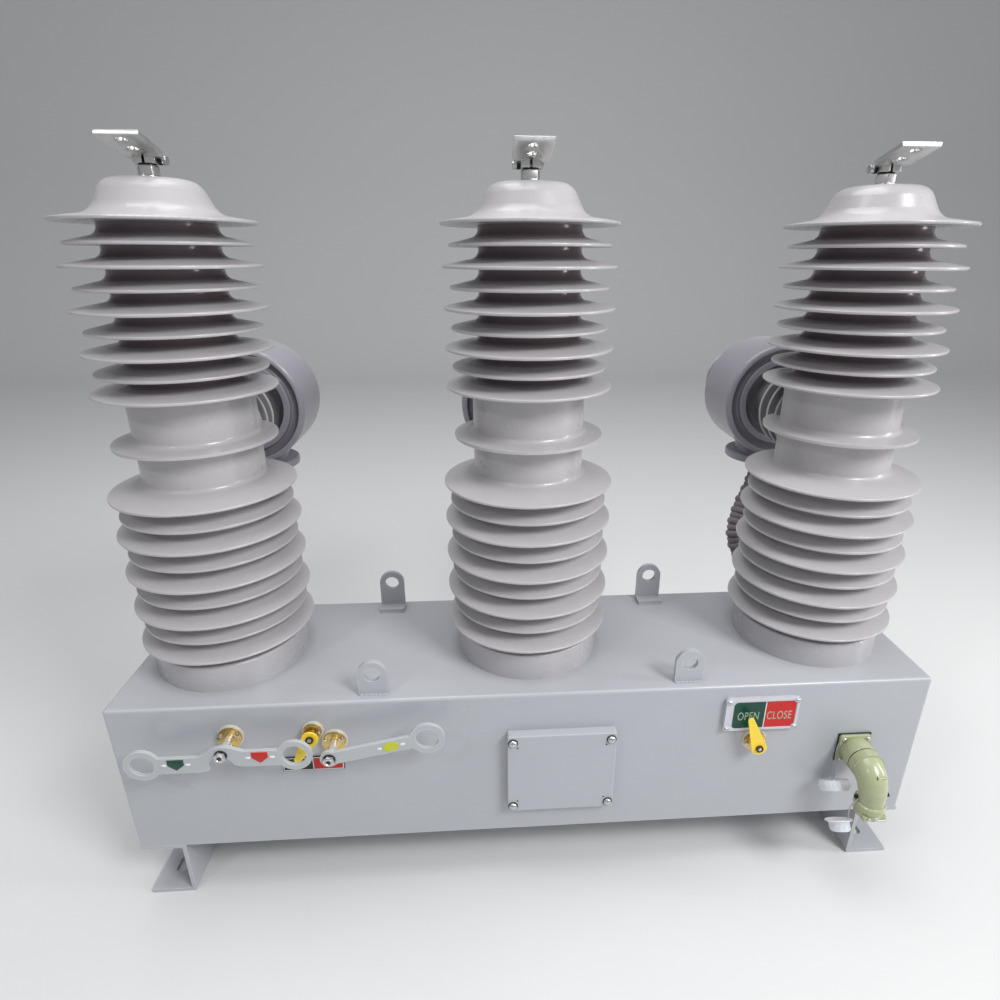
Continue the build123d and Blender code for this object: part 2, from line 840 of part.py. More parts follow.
def make_caps():
    """Dust cap and dust cup that hang beside the connector, each on its own cord."""
    cap_plane = hanging_plane(cap_x, cap_gap, cap_z, cap_tilt)
    with BuildPart() as cap:
        with BuildSketch(cap_plane):
            Circle(cap_radius)
        extrude(amount=cap_height)
        with BuildSketch(cap_plane):
            Circle(cap_radius - cap_wall)
        extrude(amount=cap_height - cap_wall, mode=Mode.SUBTRACT)
    save(cap.part, "dust_cap")
    cup_plane = hanging_plane(cup_x, cup_gap, cup_z, cup_tilt)
    with BuildPart() as cup:
        with BuildSketch(cup_plane):
            Circle(cup_radius)
        extrude(amount=cup_height)
        with BuildSketch(cup_plane.offset(cup_height - cup_rim_height)):
            Circle(cup_rim_radius)
        extrude(amount=cup_rim_height)
        with BuildSketch(cup_plane.offset(cap_wall)):
            Circle(cup_radius - cap_wall)
        extrude(amount=cup_height, mode=Mode.SUBTRACT)
    save(cup.part, "dust_cup")


def make_cord(name, route):
    """Hanging cord along a route, each bend as round as the shorter of its two runs allows."""
    points = [Vector(*place) for place in route]
    points[0] += (points[1] - points[0]).normalized() * cord_seat
    points[-1] += (points[-2] - points[-1]).normalized() * cord_seat
    bends = []
    for before, here, after in zip(points, points[1:], points[2:]):
        turn = radians((here - before).get_angle(after - here))
        bends.append(cord_bend * min((here - before).length, (after - here).length) / tan(turn / 2))
    with BuildPart() as cord:
        with BuildLine() as path:
            FilletPolyline(*points, radius=bends)
        with BuildSketch(Plane(origin=path.line @ 0, z_dir=path.line % 0)):
            Circle(string_radius)
        sweep(path=path.line)
    save(cord.part, name)
    length = sum(edge.length for edge in path.edges())
    print(name, "length", round(length, 1), "bends", [round(bend, 1) for bend in bends])


def beside_connector(place):
    """Point given as the distance to the connector's axis along X, in front of the case and along Z."""
    across, gap, rise = place
    return (connector_x + across, front_y - gap, connector_z + rise)


def make_cap_cords():
    """Cord from the socket's flange to the crown of the cap, and from the plug to the rim of the cup."""
    flange_side = (-socket_flange_side / 2, gasket_thickness + socket_flange_thickness / 2, cap_cord_rise)
    crown = hanging_plane(cap_x, cap_gap, cap_z, cap_tilt).offset(cap_height).origin
    make_cord("cap_cord", [beside_connector(place) for place in (flange_side, *cap_cord_bends)] + [crown])
    plug_side = (-plug_leg_radius, plug_axis_gap, -cup_cord_drop)
    rim = hanging_plane(cup_x, cup_gap, cup_z, cup_tilt).offset(cup_height).from_local_coords(cup_cord_end)
    make_cord("cup_cord", [beside_connector(place) for place in (plug_side, *cup_cord_bends)] + [rim])


os.makedirs("parts", exist_ok=True)
make_case()
make_rail("rail_left", -1)
make_rail("rail_right", 1)
for row, lug_y, lug_height, foot in (
    ("front", front_y + lug_inset + lug_wall, front_lug_height, 0),
    ("rear", rear_y - lug_inset, rear_lug_height, lug_foot),
):
    make_lug(f"lifting_lug_{row}_left", -lug_x, lug_y, lug_height, foot)
    make_lug(f"lifting_lug_{row}_right", lug_x, lug_y, lug_height, foot)
for place, pole_x in pole_places.items():
    make_pole(f"pole_{place}", pole_x)
    make_transformer(f"current_transformer_{place}", pole_x)
    make_lead_conduit(f"lead_conduit_{place}", pole_x)
    make_gland(f"conduit_gland_{place}", pole_x)
    make_top_terminal(f"top_terminal_{place}", pole_x)
    make_rear_terminal(f"rear_terminal_{place}", pole_x)
make_cover()
make_bushing("trip_close_bushing", rocker_x, rocker_z, bushing_radius, bushing_height, shaft_radius)
make_bushing("charging_bushing", charge_x, charge_z, bushing_radius, bushing_height, shaft_radius)
make_bushing(
    "charge_pointer_bushing",
    charge_pointer_x,
    charge_pointer_z,
    small_bushing_radius,
    small_bushing_height,
    pointer_shaft_radius,
)
make_bushing(
    "position_pointer_bushing",
    position_pointer_x,
    position_pointer_z,
    bushing_radius,
    bushing_height,
    pointer_shaft_radius,
)
make_rocker()
make_charging_handle()
make_pointer(
    "charge_pointer",
    charge_pointer_x,
    charge_pointer_z,
    charge_pointer_length,
    charge_pointer_angle,
    charge_pointer_gap,
)
make_pointer(
    "position_pointer",
    position_pointer_x,
    position_pointer_z,
    position_pointer_length,
    position_pointer_angle,
    position_pointer_gap,
)
make_charge_plate()
make_position_window()
make_connector()
make_caps()
make_cap_cords()
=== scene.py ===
"""Looks of the three-pole automatic circuit recloser: finishes, small fittings, cords, stage and camera.

Lengths are in metres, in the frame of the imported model. +X runs along the case, +Y to the rear, +Z up.
"""

from math import cos, pi, radians, sin, sqrt, tau

import bmesh
import bpy
from bpy.props import FloatProperty, FloatVectorProperty, PointerProperty
from mathutils import Matrix, Vector


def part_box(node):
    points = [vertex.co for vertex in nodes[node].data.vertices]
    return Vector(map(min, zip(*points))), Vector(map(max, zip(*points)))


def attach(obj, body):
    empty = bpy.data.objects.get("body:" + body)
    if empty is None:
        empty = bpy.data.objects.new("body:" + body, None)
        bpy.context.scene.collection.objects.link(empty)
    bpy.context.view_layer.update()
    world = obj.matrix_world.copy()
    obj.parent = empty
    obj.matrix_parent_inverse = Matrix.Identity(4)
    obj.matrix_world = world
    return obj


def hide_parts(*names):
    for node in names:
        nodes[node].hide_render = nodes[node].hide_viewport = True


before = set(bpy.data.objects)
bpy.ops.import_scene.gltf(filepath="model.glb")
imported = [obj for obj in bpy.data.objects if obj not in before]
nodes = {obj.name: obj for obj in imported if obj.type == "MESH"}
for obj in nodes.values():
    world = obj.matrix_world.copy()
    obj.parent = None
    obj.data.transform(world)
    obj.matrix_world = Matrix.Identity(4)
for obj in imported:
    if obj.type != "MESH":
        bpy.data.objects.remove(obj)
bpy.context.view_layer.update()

bl_info = {
    "name": "Automatic circuit recloser",
    "version": (1, 0, 0),
    "blender": (4, 5, 0),
    "location": "3D View > Sidebar > Recloser",
    "description": "Dresses the packed recloser with finishes, fittings, cords and a stage",
    "category": "Object",
}

case_low, case_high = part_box("mechanism_case")
front_y = case_low.y
rear_y = case_high.y
case_top = case_high.z
pole_names = ("left", "middle", "right")
pole_y = front_y + 0.124
dome_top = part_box("pole_middle")[1].z
brim_z = dome_top - 0.041
upper_sheds_low = dome_top - 0.2194
front_turn = Matrix.Rotation(radians(90), 4, "X")


# Places


def middle(name):
    """Centre of a frame node's box."""
    low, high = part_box(name)
    return (low + high) / 2


def on_front(x, z, gap=0.0, turn=0.0):
    """Place on the case front: local Z comes forward, local Y points up, turned about Z."""
    return Matrix.Translation((x, front_y - gap, z)) @ front_turn @ Matrix.Rotation(turn, 4, "Z")


def upright(x, y, z, turn=0.0):
    """Place whose local Z points up, turned about it."""
    return Matrix.Translation((x, y, z)) @ Matrix.Rotation(turn, 4, "Z")


def along(origin, direction, turn=0.0):
    """Place whose local Z follows a direction, turned about it."""
    lean = Vector((0, 0, 1)).rotation_difference(Vector(direction)).to_matrix().to_4x4()
    return Matrix.Translation(origin) @ lean @ Matrix.Rotation(turn, 4, "Z")


def hanging(x, gap, z, tilt):
    """Place in front of the case whose local Z is tilted back from the vertical."""
    return Matrix.Translation((x, front_y - gap, z)) @ Matrix.Rotation(-radians(tilt), 4, "X")


# Shapes, each made in its own frame


def soften(shape, width, segments=2, above=30.0):
    """Round every edge that turns by more than an angle."""
    edges = [
        edge
        for edge in shape.edges
        if len(edge.link_faces) == 2 and edge.calc_face_angle() > radians(above)
    ]
    bmesh.ops.bevel(
        shape,
        geom=edges,
        offset=width,
        offset_type="OFFSET",
        segments=segments,
        profile=0.5,
        affect="EDGES",
        material=-1,
        clamp_overlap=True,
    )
    return shape


def turned(outline, steps=40, closed=False):
    """Body turned about Z from a half outline of (radius, height) points."""
    shape = bmesh.new()
    points = [shape.verts.new((radius, 0.0, height)) for radius, height in outline]
    edges = [shape.edges.new(pair) for pair in zip(points, points[1:])]
    if closed:
        edges.append(shape.edges.new((points[-1], points[0])))
    bmesh.ops.spin(
        shape,
        geom=points + edges,
        cent=(0, 0, 0),
        axis=(0, 0, 1),
        angle=tau,
        steps=steps,
        use_merge=True,
    )
    bmesh.ops.remove_doubles(shape, verts=shape.verts, dist=1e-6)
    bmesh.ops.recalc_face_normals(shape, faces=shape.faces)
    return shape


def disc(radius, height, steps=32, inner=0.0, round_edge=0.0):
    """Round disc, a ring where it has an inner radius, with rounded rims where that is asked."""
    outline = [(inner, 0), (radius, 0), (radius, height), (inner, height)]
    shape = turned(outline, steps, closed=inner > 0)
    return soften(shape, round_edge) if round_edge > 0 else shape


def thicken(shape, thickness):
    """Raise a flat face into a plate."""
    raised = bmesh.ops.extrude_face_region(shape, geom=shape.faces[:], use_keep_orig=True)
    moved = [item for item in raised["geom"] if isinstance(item, bmesh.types.BMVert)]
    bmesh.ops.translate(shape, verts=moved, vec=(0, 0, thickness))
    bmesh.ops.recalc_face_normals(shape, faces=shape.faces)
    return shape


def flat_plate(outline, thickness):
    """Plate with a given outline of (x, y) points."""
    shape = bmesh.new()
    shape.faces.new([shape.verts.new((x, y, 0.0)) for x, y in outline])
    return thicken(shape, thickness)


def block(width, depth, height):
    """Block standing on the local XY plane."""
    shape = bmesh.new()
    bmesh.ops.create_cube(shape, size=1.0)
    bmesh.ops.scale(shape, vec=(width, depth, height), verts=shape.verts)
    bmesh.ops.translate(shape, verts=shape.verts, vec=(0, 0, height / 2))
    return shape


def hexagon(across, height, chamfer):
    """Hexagonal head or nut with softened corners."""
    shape = bmesh.new()
    radius = across / sqrt(3)
    bmesh.ops.create_cone(
        shape, cap_ends=True, segments=6, radius1=radius, radius2=radius, depth=height
    )
    bmesh.ops.translate(shape, verts=shape.verts, vec=(0, 0, height / 2))
    return soften(shape, chamfer)


def dome_head(radius, height, flange=0.0):
    """Domed bolt or rivet head, with a thin flange round it where one is given."""
    shape = bmesh.new()
    bmesh.ops.create_uvsphere(shape, u_segments=20, v_segments=12, radius=1.0)
    bmesh.ops.bisect_plane(
        shape,
        geom=shape.verts[:] + shape.edges[:] + shape.faces[:],
        plane_co=(0, 0, 0),
        plane_no=(0, 0, -1),
        clear_outer=True,
    )
    bmesh.ops.scale(shape, vec=(radius, radius, height), verts=shape.verts)
    if flange > 0:
        rim = radius * 1.15
        add_shape(shape, turned([(0, -flange), (rim, -flange), (rim, 0), (0, 0)], 24))
        bmesh.ops.translate(shape, verts=shape.verts, vec=(0, 0, flange))
    return shape


def crossed_screw(radius, height):
    """Pan head screw with a raised cross on its top."""
    outline = [(0, 0), (radius, 0), (radius * 0.96, height * 0.7), (radius * 0.6, height), (0, height)]
    shape = turned(outline, 16)
    for turn in (0.0, pi / 2):
        bar = block(radius * 1.1, radius * 0.22, height * 0.12)
        add_shape(shape, bar, Matrix.Translation((0, 0, height * 0.96)) @ Matrix.Rotation(turn, 4, "Z"))
    return shape


def add_shape(target, shape, place=Matrix.Identity(4)):
    """Move a shape into another one, at a place where one is given."""
    mesh = bpy.data.meshes.new("shape")
    shape.to_mesh(mesh)
    shape.free()
    mesh.transform(place)
    target.from_mesh(mesh)
    bpy.data.meshes.remove(mesh)


def mesh_of(line):
    """Mesh of a text or curve."""
    stand_in = bpy.data.objects.new(line.name, line)
    bpy.context.scene.collection.objects.link(stand_in)
    bpy.context.view_layer.update()
    seen = stand_in.evaluated_get(bpy.context.evaluated_depsgraph_get())
    mesh = bpy.data.meshes.new_from_object(seen)
    bpy.data.objects.remove(stand_in)
    return mesh


def shape_of(line):
    """Shape of a text or curve."""
    mesh = mesh_of(line)
    shape = bmesh.new()
    shape.from_mesh(mesh)
    bpy.data.meshes.remove(mesh)
    return shape


def smooth_line(name, route, resolution=12):
    """Smooth curve from the first to the last point of its route."""
    line = bpy.data.curves.new(name, "CURVE")
    line.dimensions = "3D"
    line.resolution_u = resolution
    spline = line.splines.new("NURBS")
    spline.points.add(len(route) - 1)
    for point, place in zip(spline.points, route):
        point.co = (*place, 1.0)
    spline.order_u = 3
    spline.use_endpoint_u = True
    return line


def finish_piece(name, shape, finish, body="recloser", crease=35.0):
    """Merge doubles, mark the sharp edges, link the piece, and let it ride on its body."""
    bmesh.ops.remove_doubles(shape, verts=shape.verts, dist=1e-6)
    for face in shape.faces:
        face.smooth = True
    for edge in shape.edges:
        edge.smooth = len(edge.link_faces) == 2 and edge.calc_face_angle() < radians(crease)
    mesh = bpy.data.meshes.new(name)
    shape.to_mesh(mesh)
    shape.free()
    mesh.materials.append(materials[finish])
    piece = bpy.data.objects.new(name, mesh)
    bpy.context.scene.collection.objects.link(piece)
    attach(piece, body)
    return piece


def placed_piece(name, shape, place, finish, body="recloser"):
    """Finish a piece that is one shape at one place."""
    placed = bmesh.new()
    add_shape(placed, shape, place)
    return finish_piece(name, placed, finish, body)


# Node helpers


def feed(tree, value, socket):
    """Link a socket, or set a plain value."""
    if isinstance(value, bpy.types.NodeSocket):
        tree.links.new(value, socket)
    else:
        socket.default_value = value


def calc(tree, operation, *values, clamp=False):
    """One math node."""
    made = tree.nodes.new("ShaderNodeMath")
    made.operation = operation
    made.use_clamp = clamp
    for value, socket in zip(values, made.inputs):
        feed(tree, value, socket)
    return made.outputs[0]


def blend(tree, share, first, second):
    """Mix of two colours."""
    made = tree.nodes.new("ShaderNodeMix")
    made.data_type = "RGBA"
    for value, socket in zip((share, first, second), (made.inputs[0], made.inputs[6], made.inputs[7])):
        feed(tree, value, socket)
    return made.outputs[2]


def step_up(tree, value, low, high):
    """Smooth rise from 0 to 1 between two values."""
    made = tree.nodes.new("ShaderNodeMapRange")
    made.interpolation_type = "SMOOTHSTEP"
    feed(tree, value, made.inputs["Value"])
    feed(tree, low, made.inputs["From Min"])
    feed(tree, high, made.inputs["From Max"])
    return made.outputs["Result"]


def noise(tree, place, scale, detail=3.0, roughness=0.55):
    """Noise texture read at a place."""
    made = tree.nodes.new("ShaderNodeTexNoise")
    feed(tree, place, made.inputs["Vector"])
    feed(tree, scale, made.inputs["Scale"])
    made.inputs["Detail"].default_value = detail
    made.inputs["Roughness"].default_value = roughness
    return made.outputs["Fac"]


def object_place(tree):
    """Object coordinates."""
    return tree.nodes.new("ShaderNodeTexCoord").outputs["Object"]


def split(tree, vector):
    """X, Y and Z of a vector."""
    made = tree.nodes.new("ShaderNodeSeparateXYZ")
    feed(tree, vector, made.inputs[0])
    return made.outputs[0], made.outputs[1], made.outputs[2]


def stretched(tree, place, scale):
    """Coordinates stretched by a Mapping node."""
    made = tree.nodes.new("ShaderNodeMapping")
    feed(tree, place, made.inputs["Vector"])
    made.inputs["Scale"].default_value = scale
    return made.outputs["Vector"]


def new_group(name, inputs, outputs):
    """Empty effect group with named inputs and outputs."""
    tree = bpy.data.node_groups.new(name, "ShaderNodeTree")
    for label, kind, value in inputs:
        socket = tree.interface.new_socket(label, in_out="INPUT", socket_type="NodeSocket" + kind)
        socket.default_value = value
    for label, kind in outputs:
        tree.interface.new_socket(label, in_out="OUTPUT", socket_type="NodeSocket" + kind)
    return tree, tree.nodes.new("NodeGroupInput"), tree.nodes.new("NodeGroupOutput")


def use_group(tree, name, **values):
    """Place an effect group in a material with its own values."""
    made = tree.nodes.new("ShaderNodeGroup")
    made.node_tree = bpy.data.node_groups[name]
    for label, value in values.items():
        feed(tree, value, made.inputs[label.replace("_", " ").capitalize()])
    return made.outputs[0]


# Effects that several finishes share


def make_edge_wear():
    """Patchy mask along the edges, where handling rubs a finish thin."""
    tree, given, result = new_group(
        "edge wear",
        [("Width", "Float", 0.002), ("Patch scale", "Float", 90.0), ("Amount", "Float", 0.5)],
        [("Mask", "Float")],
    )
    rounded = tree.nodes.new("ShaderNodeBevel")
    rounded.samples = 4
    tree.links.new(given.outputs["Width"], rounded.inputs["Radius"])
    surface = tree.nodes.new("ShaderNodeNewGeometry")
    turn = tree.nodes.new("ShaderNodeVectorMath")
    turn.operation = "DOT_PRODUCT"
    tree.links.new(rounded.outputs[0], turn.inputs[0])
    tree.links.new(surface.outputs["Normal"], turn.inputs[1])
    edge = step_up(tree, calc(tree, "SUBTRACT", 1.0, turn.outputs["Value"]), 0.02, 0.22)
    clouds = noise(tree, object_place(tree), given.outputs["Patch scale"], 4.0, 0.65)
    patches = step_up(tree, clouds, 0.35, 0.62)
    worn = calc(tree, "MULTIPLY", edge, calc(tree, "ADD", 0.25, calc(tree, "MULTIPLY", 0.75, patches)))
    tree.links.new(calc(tree, "MULTIPLY", worn, given.outputs["Amount"], clamp=True), result.inputs[0])


def make_mottling():
    """Soft value about one half, broad clouds with finer ones over them."""
    tree, given, result = new_group(
        "mottling", [("Scale", "Float", 6.0), ("Contrast", "Float", 1.0)], [("Value", "Float")]
    )
    place = object_place(tree)
    broad = noise(tree, place, given.outputs["Scale"], 2.0)
    fine = noise(tree, place, calc(tree, "MULTIPLY", given.outputs["Scale"], 9.0), 4.0, 0.6)
    both = calc(tree, "ADD", calc(tree, "MULTIPLY", broad, 0.65), calc(tree, "MULTIPLY", fine, 0.35))
    spread = calc(tree, "MULTIPLY", calc(tree, "SUBTRACT", both, 0.5), given.outputs["Contrast"])
    tree.links.new(calc(tree, "ADD", 0.5, spread, clamp=True), result.inputs[0])


def make_settled_dust():
    """Mask of dust that lies on faces that look up."""
    tree, given, result = new_group(
        "settled dust", [("Scale", "Float", 14.0), ("Amount", "Float", 0.4)], [("Mask", "Float")]
    )
    height = split(tree, tree.nodes.new("ShaderNodeNewGeometry").outputs["Normal"])[2]
    up = step_up(tree, height, 0.35, 0.95)
    film = step_up(tree, noise(tree, object_place(tree), given.outputs["Scale"], 6.0, 0.65), 0.3, 0.75)
    dusty = calc(tree, "MULTIPLY", up, calc(tree, "ADD", 0.3, calc(tree, "MULTIPLY", 0.7, film)))
    tree.links.new(calc(tree, "MULTIPLY", dusty, given.outputs["Amount"], clamp=True), result.inputs[0])


def make_fine_marks():
    """Mask of faint rubs and scratches in two directions."""
    tree, given, result = new_group(
        "fine marks", [("Scale", "Float", 30.0), ("Amount", "Float", 0.3)], [("Mask", "Float")]
    )
    place = object_place(tree)
    long_marks = noise(tree, stretched(tree, place, (0.25, 1.0, 5.0)), given.outputs["Scale"], 5.0, 0.7)
    cross_marks = noise(tree, stretched(tree, place, (5.0, 1.0, 0.3)), given.outputs["Scale"], 5.0, 0.7)
    thin_long = step_up(tree, long_marks, 0.66, 0.74)
    thin_cross = step_up(tree, cross_marks, 0.68, 0.76)
    lines = calc(tree, "MAXIMUM", thin_long, thin_cross)
    tree.links.new(calc(tree, "MULTIPLY", lines, given.outputs["Amount"], clamp=True), result.inputs[0])


def make_grain():
    """Height of a fine surface grain over a slow wave."""
    tree, given, result = new_group(
        "surface grain", [("Scale", "Float", 400.0), ("Wave", "Float", 0.3)], [("Height", "Float")]
    )
    place = object_place(tree)
    fine = noise(tree, place, given.outputs["Scale"], 2.0)
    slow = noise(tree, place, calc(tree, "MULTIPLY", given.outputs["Scale"], 0.06), 1.0)
    height = calc(tree, "ADD", fine, calc(tree, "MULTIPLY", slow, given.outputs["Wave"]))
    tree.links.new(height, result.inputs[0])


# Finishes


def linear(colour):
    """Screen colour as the shader wants it."""
    return tuple(c / 12.92 if c <= 0.04045 else ((c + 0.055) / 1.055) ** 2.4 for c in colour[:3]) + (1.0,)


def shade(colour, share):
    """A lighter or darker tone of a shader colour."""
    return tuple(min(1.0, c * share) for c in colour[:3]) + (1.0,)


class Finish:
    """A material in the making: its tree, its colour, roughness and metal so far, and its relief."""

    def __init__(self, name, colour, roughness, metal=0.0):
        self.material = bpy.data.materials.new(name)
        self.material.use_nodes = True
        self.tree = self.material.node_tree
        self.shader = self.tree.nodes["Principled BSDF"]
        self.colour = linear(colour)
        self.roughness = roughness
        self.metal = metal
        self.height = None

    def mottle(self, scale, contrast, dark=0.86, light=1.1):
        value = use_group(self.tree, "mottling", scale=scale, contrast=contrast)
        self.colour = blend(self.tree, value, shade(self.colour, dark), shade(self.colour, light))
        swing = calc(self.tree, "MULTIPLY", calc(self.tree, "SUBTRACT", value, 0.5), 0.25)
        self.roughness = calc(self.tree, "ADD", self.roughness, swing, clamp=True)
        return self

    def cover(self, mask, colour, roughness=None, metal=None):
        """Lay another colour, and its gloss where given, over what is there."""
        self.colour = blend(self.tree, mask, self.colour, colour)
        if roughness is not None:
            self.roughness = self.between(mask, self.roughness, roughness)
        if metal is not None:
            self.metal = self.between(mask, self.metal, metal)
        return self

    def between(self, mask, first, second):
        rest = calc(self.tree, "MULTIPLY", calc(self.tree, "SUBTRACT", 1.0, mask), first)
        return calc(self.tree, "ADD", rest, calc(self.tree, "MULTIPLY", mask, second), clamp=True)

    def wear(self, width, amount, colour, roughness=None, metal=None, patches=90.0):
        mask = use_group(self.tree, "edge wear", width=width, patch_scale=patches, amount=amount)
        return self.cover(mask, linear(colour), roughness, metal)

    def dust(self, amount, colour=(0.62, 0.6, 0.57), scale=14.0):
        mask = use_group(self.tree, "settled dust", scale=scale, amount=amount)
        return self.cover(mask, linear(colour), 0.85)

    def marks(self, amount, colour, scale=30.0):
        return self.cover(use_group(self.tree, "fine marks", scale=scale, amount=amount), linear(colour))

    def grain(self, scale, depth, wave=0.3):
        grain = use_group(self.tree, "surface grain", scale=scale, wave=wave)
        self.height = calc(self.tree, "MULTIPLY", grain, depth)
        return self

    def raise_by(self, height):
        self.height = height if self.height is None else calc(self.tree, "ADD", self.height, height)
        return self

    def done(self, coat=0.0, coat_roughness=0.1, specular=0.5, transmission=0.0, subsurface=0.0):
        feed(self.tree, self.colour, self.shader.inputs["Base Color"])
        feed(self.tree, self.roughness, self.shader.inputs["Roughness"])
        feed(self.tree, self.metal, self.shader.inputs["Metallic"])
        self.shader.inputs["Specular IOR Level"].default_value = specular
        self.shader.inputs["Coat Weight"].default_value = coat
        self.shader.inputs["Coat Roughness"].default_value = coat_roughness
        self.shader.inputs["Transmission Weight"].default_value = transmission
        self.shader.inputs["Subsurface Weight"].default_value = subsurface
        if self.height is not None:
            bump = self.tree.nodes.new("ShaderNodeBump")
            bump.inputs["Strength"].default_value = 1.0
            bump.inputs["Distance"].default_value = 1.0
            self.tree.links.new(self.height, bump.inputs["Height"])
            self.tree.links.new(bump.outputs[0], self.shader.inputs["Normal"])
        return self.material


def make_case_paint(colours):
    """Light blue-grey enamel, pale on its edges where it is rubbed and as a painted edge highlight, with a
    thin film of dust.
    """
    finish = Finish("case enamel", colours.case_paint, 0.3)
    finish.mottle(2.2, 0.8, 0.93, 1.05).marks(0.16, (0.78, 0.79, 0.81)).dust(0.16, (0.72, 0.71, 0.7))
    # The pale edge colour is partly rubbed paint and partly a painted highlight along the case's edges.
    finish.wear(0.0025, 0.55, (0.86, 0.87, 0.89), 0.4).grain(210, 0.00004, 3.0)
    return finish.done(coat=0.25, coat_roughness=0.12)


def beside_pole(tree, x):
    """Distance along X to the nearest pole axis, with its sign."""
    spacing = middle("pole_right").x - middle("pole_middle").x
    # Whole periods keep the sum above zero, and the half puts each axis in the middle of one.
    shift = 10 + 0.5
    share = calc(tree, "FRACT", calc(tree, "ADD", calc(tree, "DIVIDE", x, spacing), shift))
    return calc(tree, "MULTIPLY", calc(tree, "SUBTRACT", share, 0.5), spacing)


def reach(tree, first, second):
    """Distance from an axis, given the two distances across it."""
    squares = calc(tree, "ADD", calc(tree, "MULTIPLY", first, first), calc(tree, "MULTIPLY", second, second))
    return calc(tree, "SQRT", squares)


def make_silicone(colours):
    """Mid grey silicone rubber with painted shade on the upper core between the sheds and on the arms behind
    each pole, and a faint mould seam down each pole.
    """
    finish = Finish("pole silicone rubber", colours.silicone, 0.28)
    tree = finish.tree
    finish.mottle(7.0, 0.9, 0.94, 1.05).dust(0.22, (0.72, 0.71, 0.71), 20.0)
    x, y, z = split(tree, object_place(tree))
    beside = beside_pole(tree, x)
    radius = reach(tree, beside, calc(tree, "SUBTRACT", y, pole_y))
    above_body = step_up(tree, z, upper_sheds_low, upper_sheds_low + 0.004)
    below_brim = step_up(tree, z, brim_z, brim_z - 0.002)
    upper = calc(tree, "MULTIPLY", above_body, below_brim)
    # Painted shade: the core between the upper sheds is darkened to a brownish grey, standing in for the
    # shade the sheds cast on it.
    core = calc(tree, "MULTIPLY", step_up(tree, radius, 0.0685, 0.0605), upper)
    finish.cover(core, linear(colours.painted_core_shade), 0.22)
    sleeve = reach(tree, beside, calc(tree, "SUBTRACT", z, middle("rear_terminal_middle").z))
    behind_pole = step_up(tree, y, pole_y + 0.05, pole_y + 0.062)
    # Painted shade: the silicone close to the axis of the pole's side limb, behind the pole and inside the
    # ring transformer, is darkened where it lies in shade; the shed rims stay light.
    painted_arm_shade = calc(tree, "MULTIPLY", step_up(tree, sleeve, 0.0562, 0.0545), behind_pole)
    finish.cover(painted_arm_shade, shade(linear(colours.silicone), 0.42), 0.3)
    finish.wear(0.0018, 0.4, (0.78, 0.77, 0.77), patches=60.0).grain(700, 0.00002, 4.0)
    seam = step_up(tree, calc(tree, "ABSOLUTE", beside), 0.0009, 0.0003)
    finish.raise_by(calc(tree, "MULTIPLY", seam, 0.00006))
    return finish.done(coat=0.25, coat_roughness=0.12)


def make_resin(colours):
    """Grey cast resin of the ring transformers, with painted shade inside the sunk ring of their faces."""
    finish = Finish("transformer cast resin", colours.resin, 0.34)
    tree = finish.tree
    finish.mottle(9.0, 0.9, 0.93, 1.05).dust(0.2, (0.7, 0.69, 0.7), 24.0)
    x, y, z = split(tree, object_place(tree))
    radius = reach(tree, beside_pole(tree, x), calc(tree, "SUBTRACT", z, middle("rear_terminal_middle").z))
    face_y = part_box("current_transformer_middle")[0].y
    sunk = step_up(tree, y, face_y + 0.0006, face_y + 0.0055)
    # Painted shade: the resin inside the sunk ring of the face is darkened where the recess lies in shade.
    painted_groove_shade = calc(tree, "MULTIPLY", step_up(tree, radius, 0.0792, 0.0775), sunk)
    finish.cover(painted_groove_shade, shade(linear(colours.resin), 0.62), 0.4)
    finish.wear(0.002, 0.35, (0.76, 0.75, 0.78)).grain(420, 0.00003, 2.0)
    return finish.done(coat=0.25, coat_roughness=0.12)


def make_hose_rubber(colours):
    """Grey rubber of the lead hoses, set darker than the pole silicone; the darker tone is painted shade on
    the hoses behind the poles.
    """
    finish = Finish("lead hose rubber", colours.hose, 0.6)
    finish.mottle(30.0, 1.0, 0.8, 1.2).dust(0.35, (0.5, 0.48, 0.46), 60.0)
    finish.wear(0.001, 0.3, (0.45, 0.44, 0.43)).grain(1500, 0.00003)
    return finish.done()


def make_tinned_metal(colours):
    """Bright tinned copper with brushed lines and dull spots."""
    finish = Finish("tinned copper", colours.tinned_metal, 0.26, 1.0)
    tree = finish.tree
    finish.mottle(60.0, 1.2, 0.82, 1.08)
    lines = noise(tree, stretched(tree, object_place(tree), (1.0, 0.06, 0.06)), 900.0, 3.0)
    duller = calc(tree, "MULTIPLY", lines, 0.14)
    finish.roughness = calc(tree, "ADD", finish.roughness, duller, clamp=True)
    finish.wear(0.0008, 0.5, (0.97, 0.97, 0.96), 0.18).raise_by(calc(tree, "MULTIPLY", lines, 0.00002))
    return finish.done()


def make_zinc(colours):
    """Zinc plated steel of the bolts, mottled, with rubbed bright edges."""
    finish = Finish("zinc plated steel", colours.zinc, 0.3, 1.0)
    finish.mottle(180.0, 1.3, 0.7, 1.1).wear(0.0006, 0.7, (0.95, 0.95, 0.96), 0.2).grain(1800, 0.00001)
    return finish.done()


def make_dark_steel(colours):
    """Blackened washers and screws, and the dark discs painted as shadow under the terminal clamps."""
    finish = Finish("blackened steel", colours.dark_steel, 0.45, 0.7)
    finish.mottle(200.0, 1.2, 0.7, 1.3).wear(0.0005, 0.6, (0.5, 0.5, 0.5), 0.3).grain(1500, 0.00001)
    return finish.done()


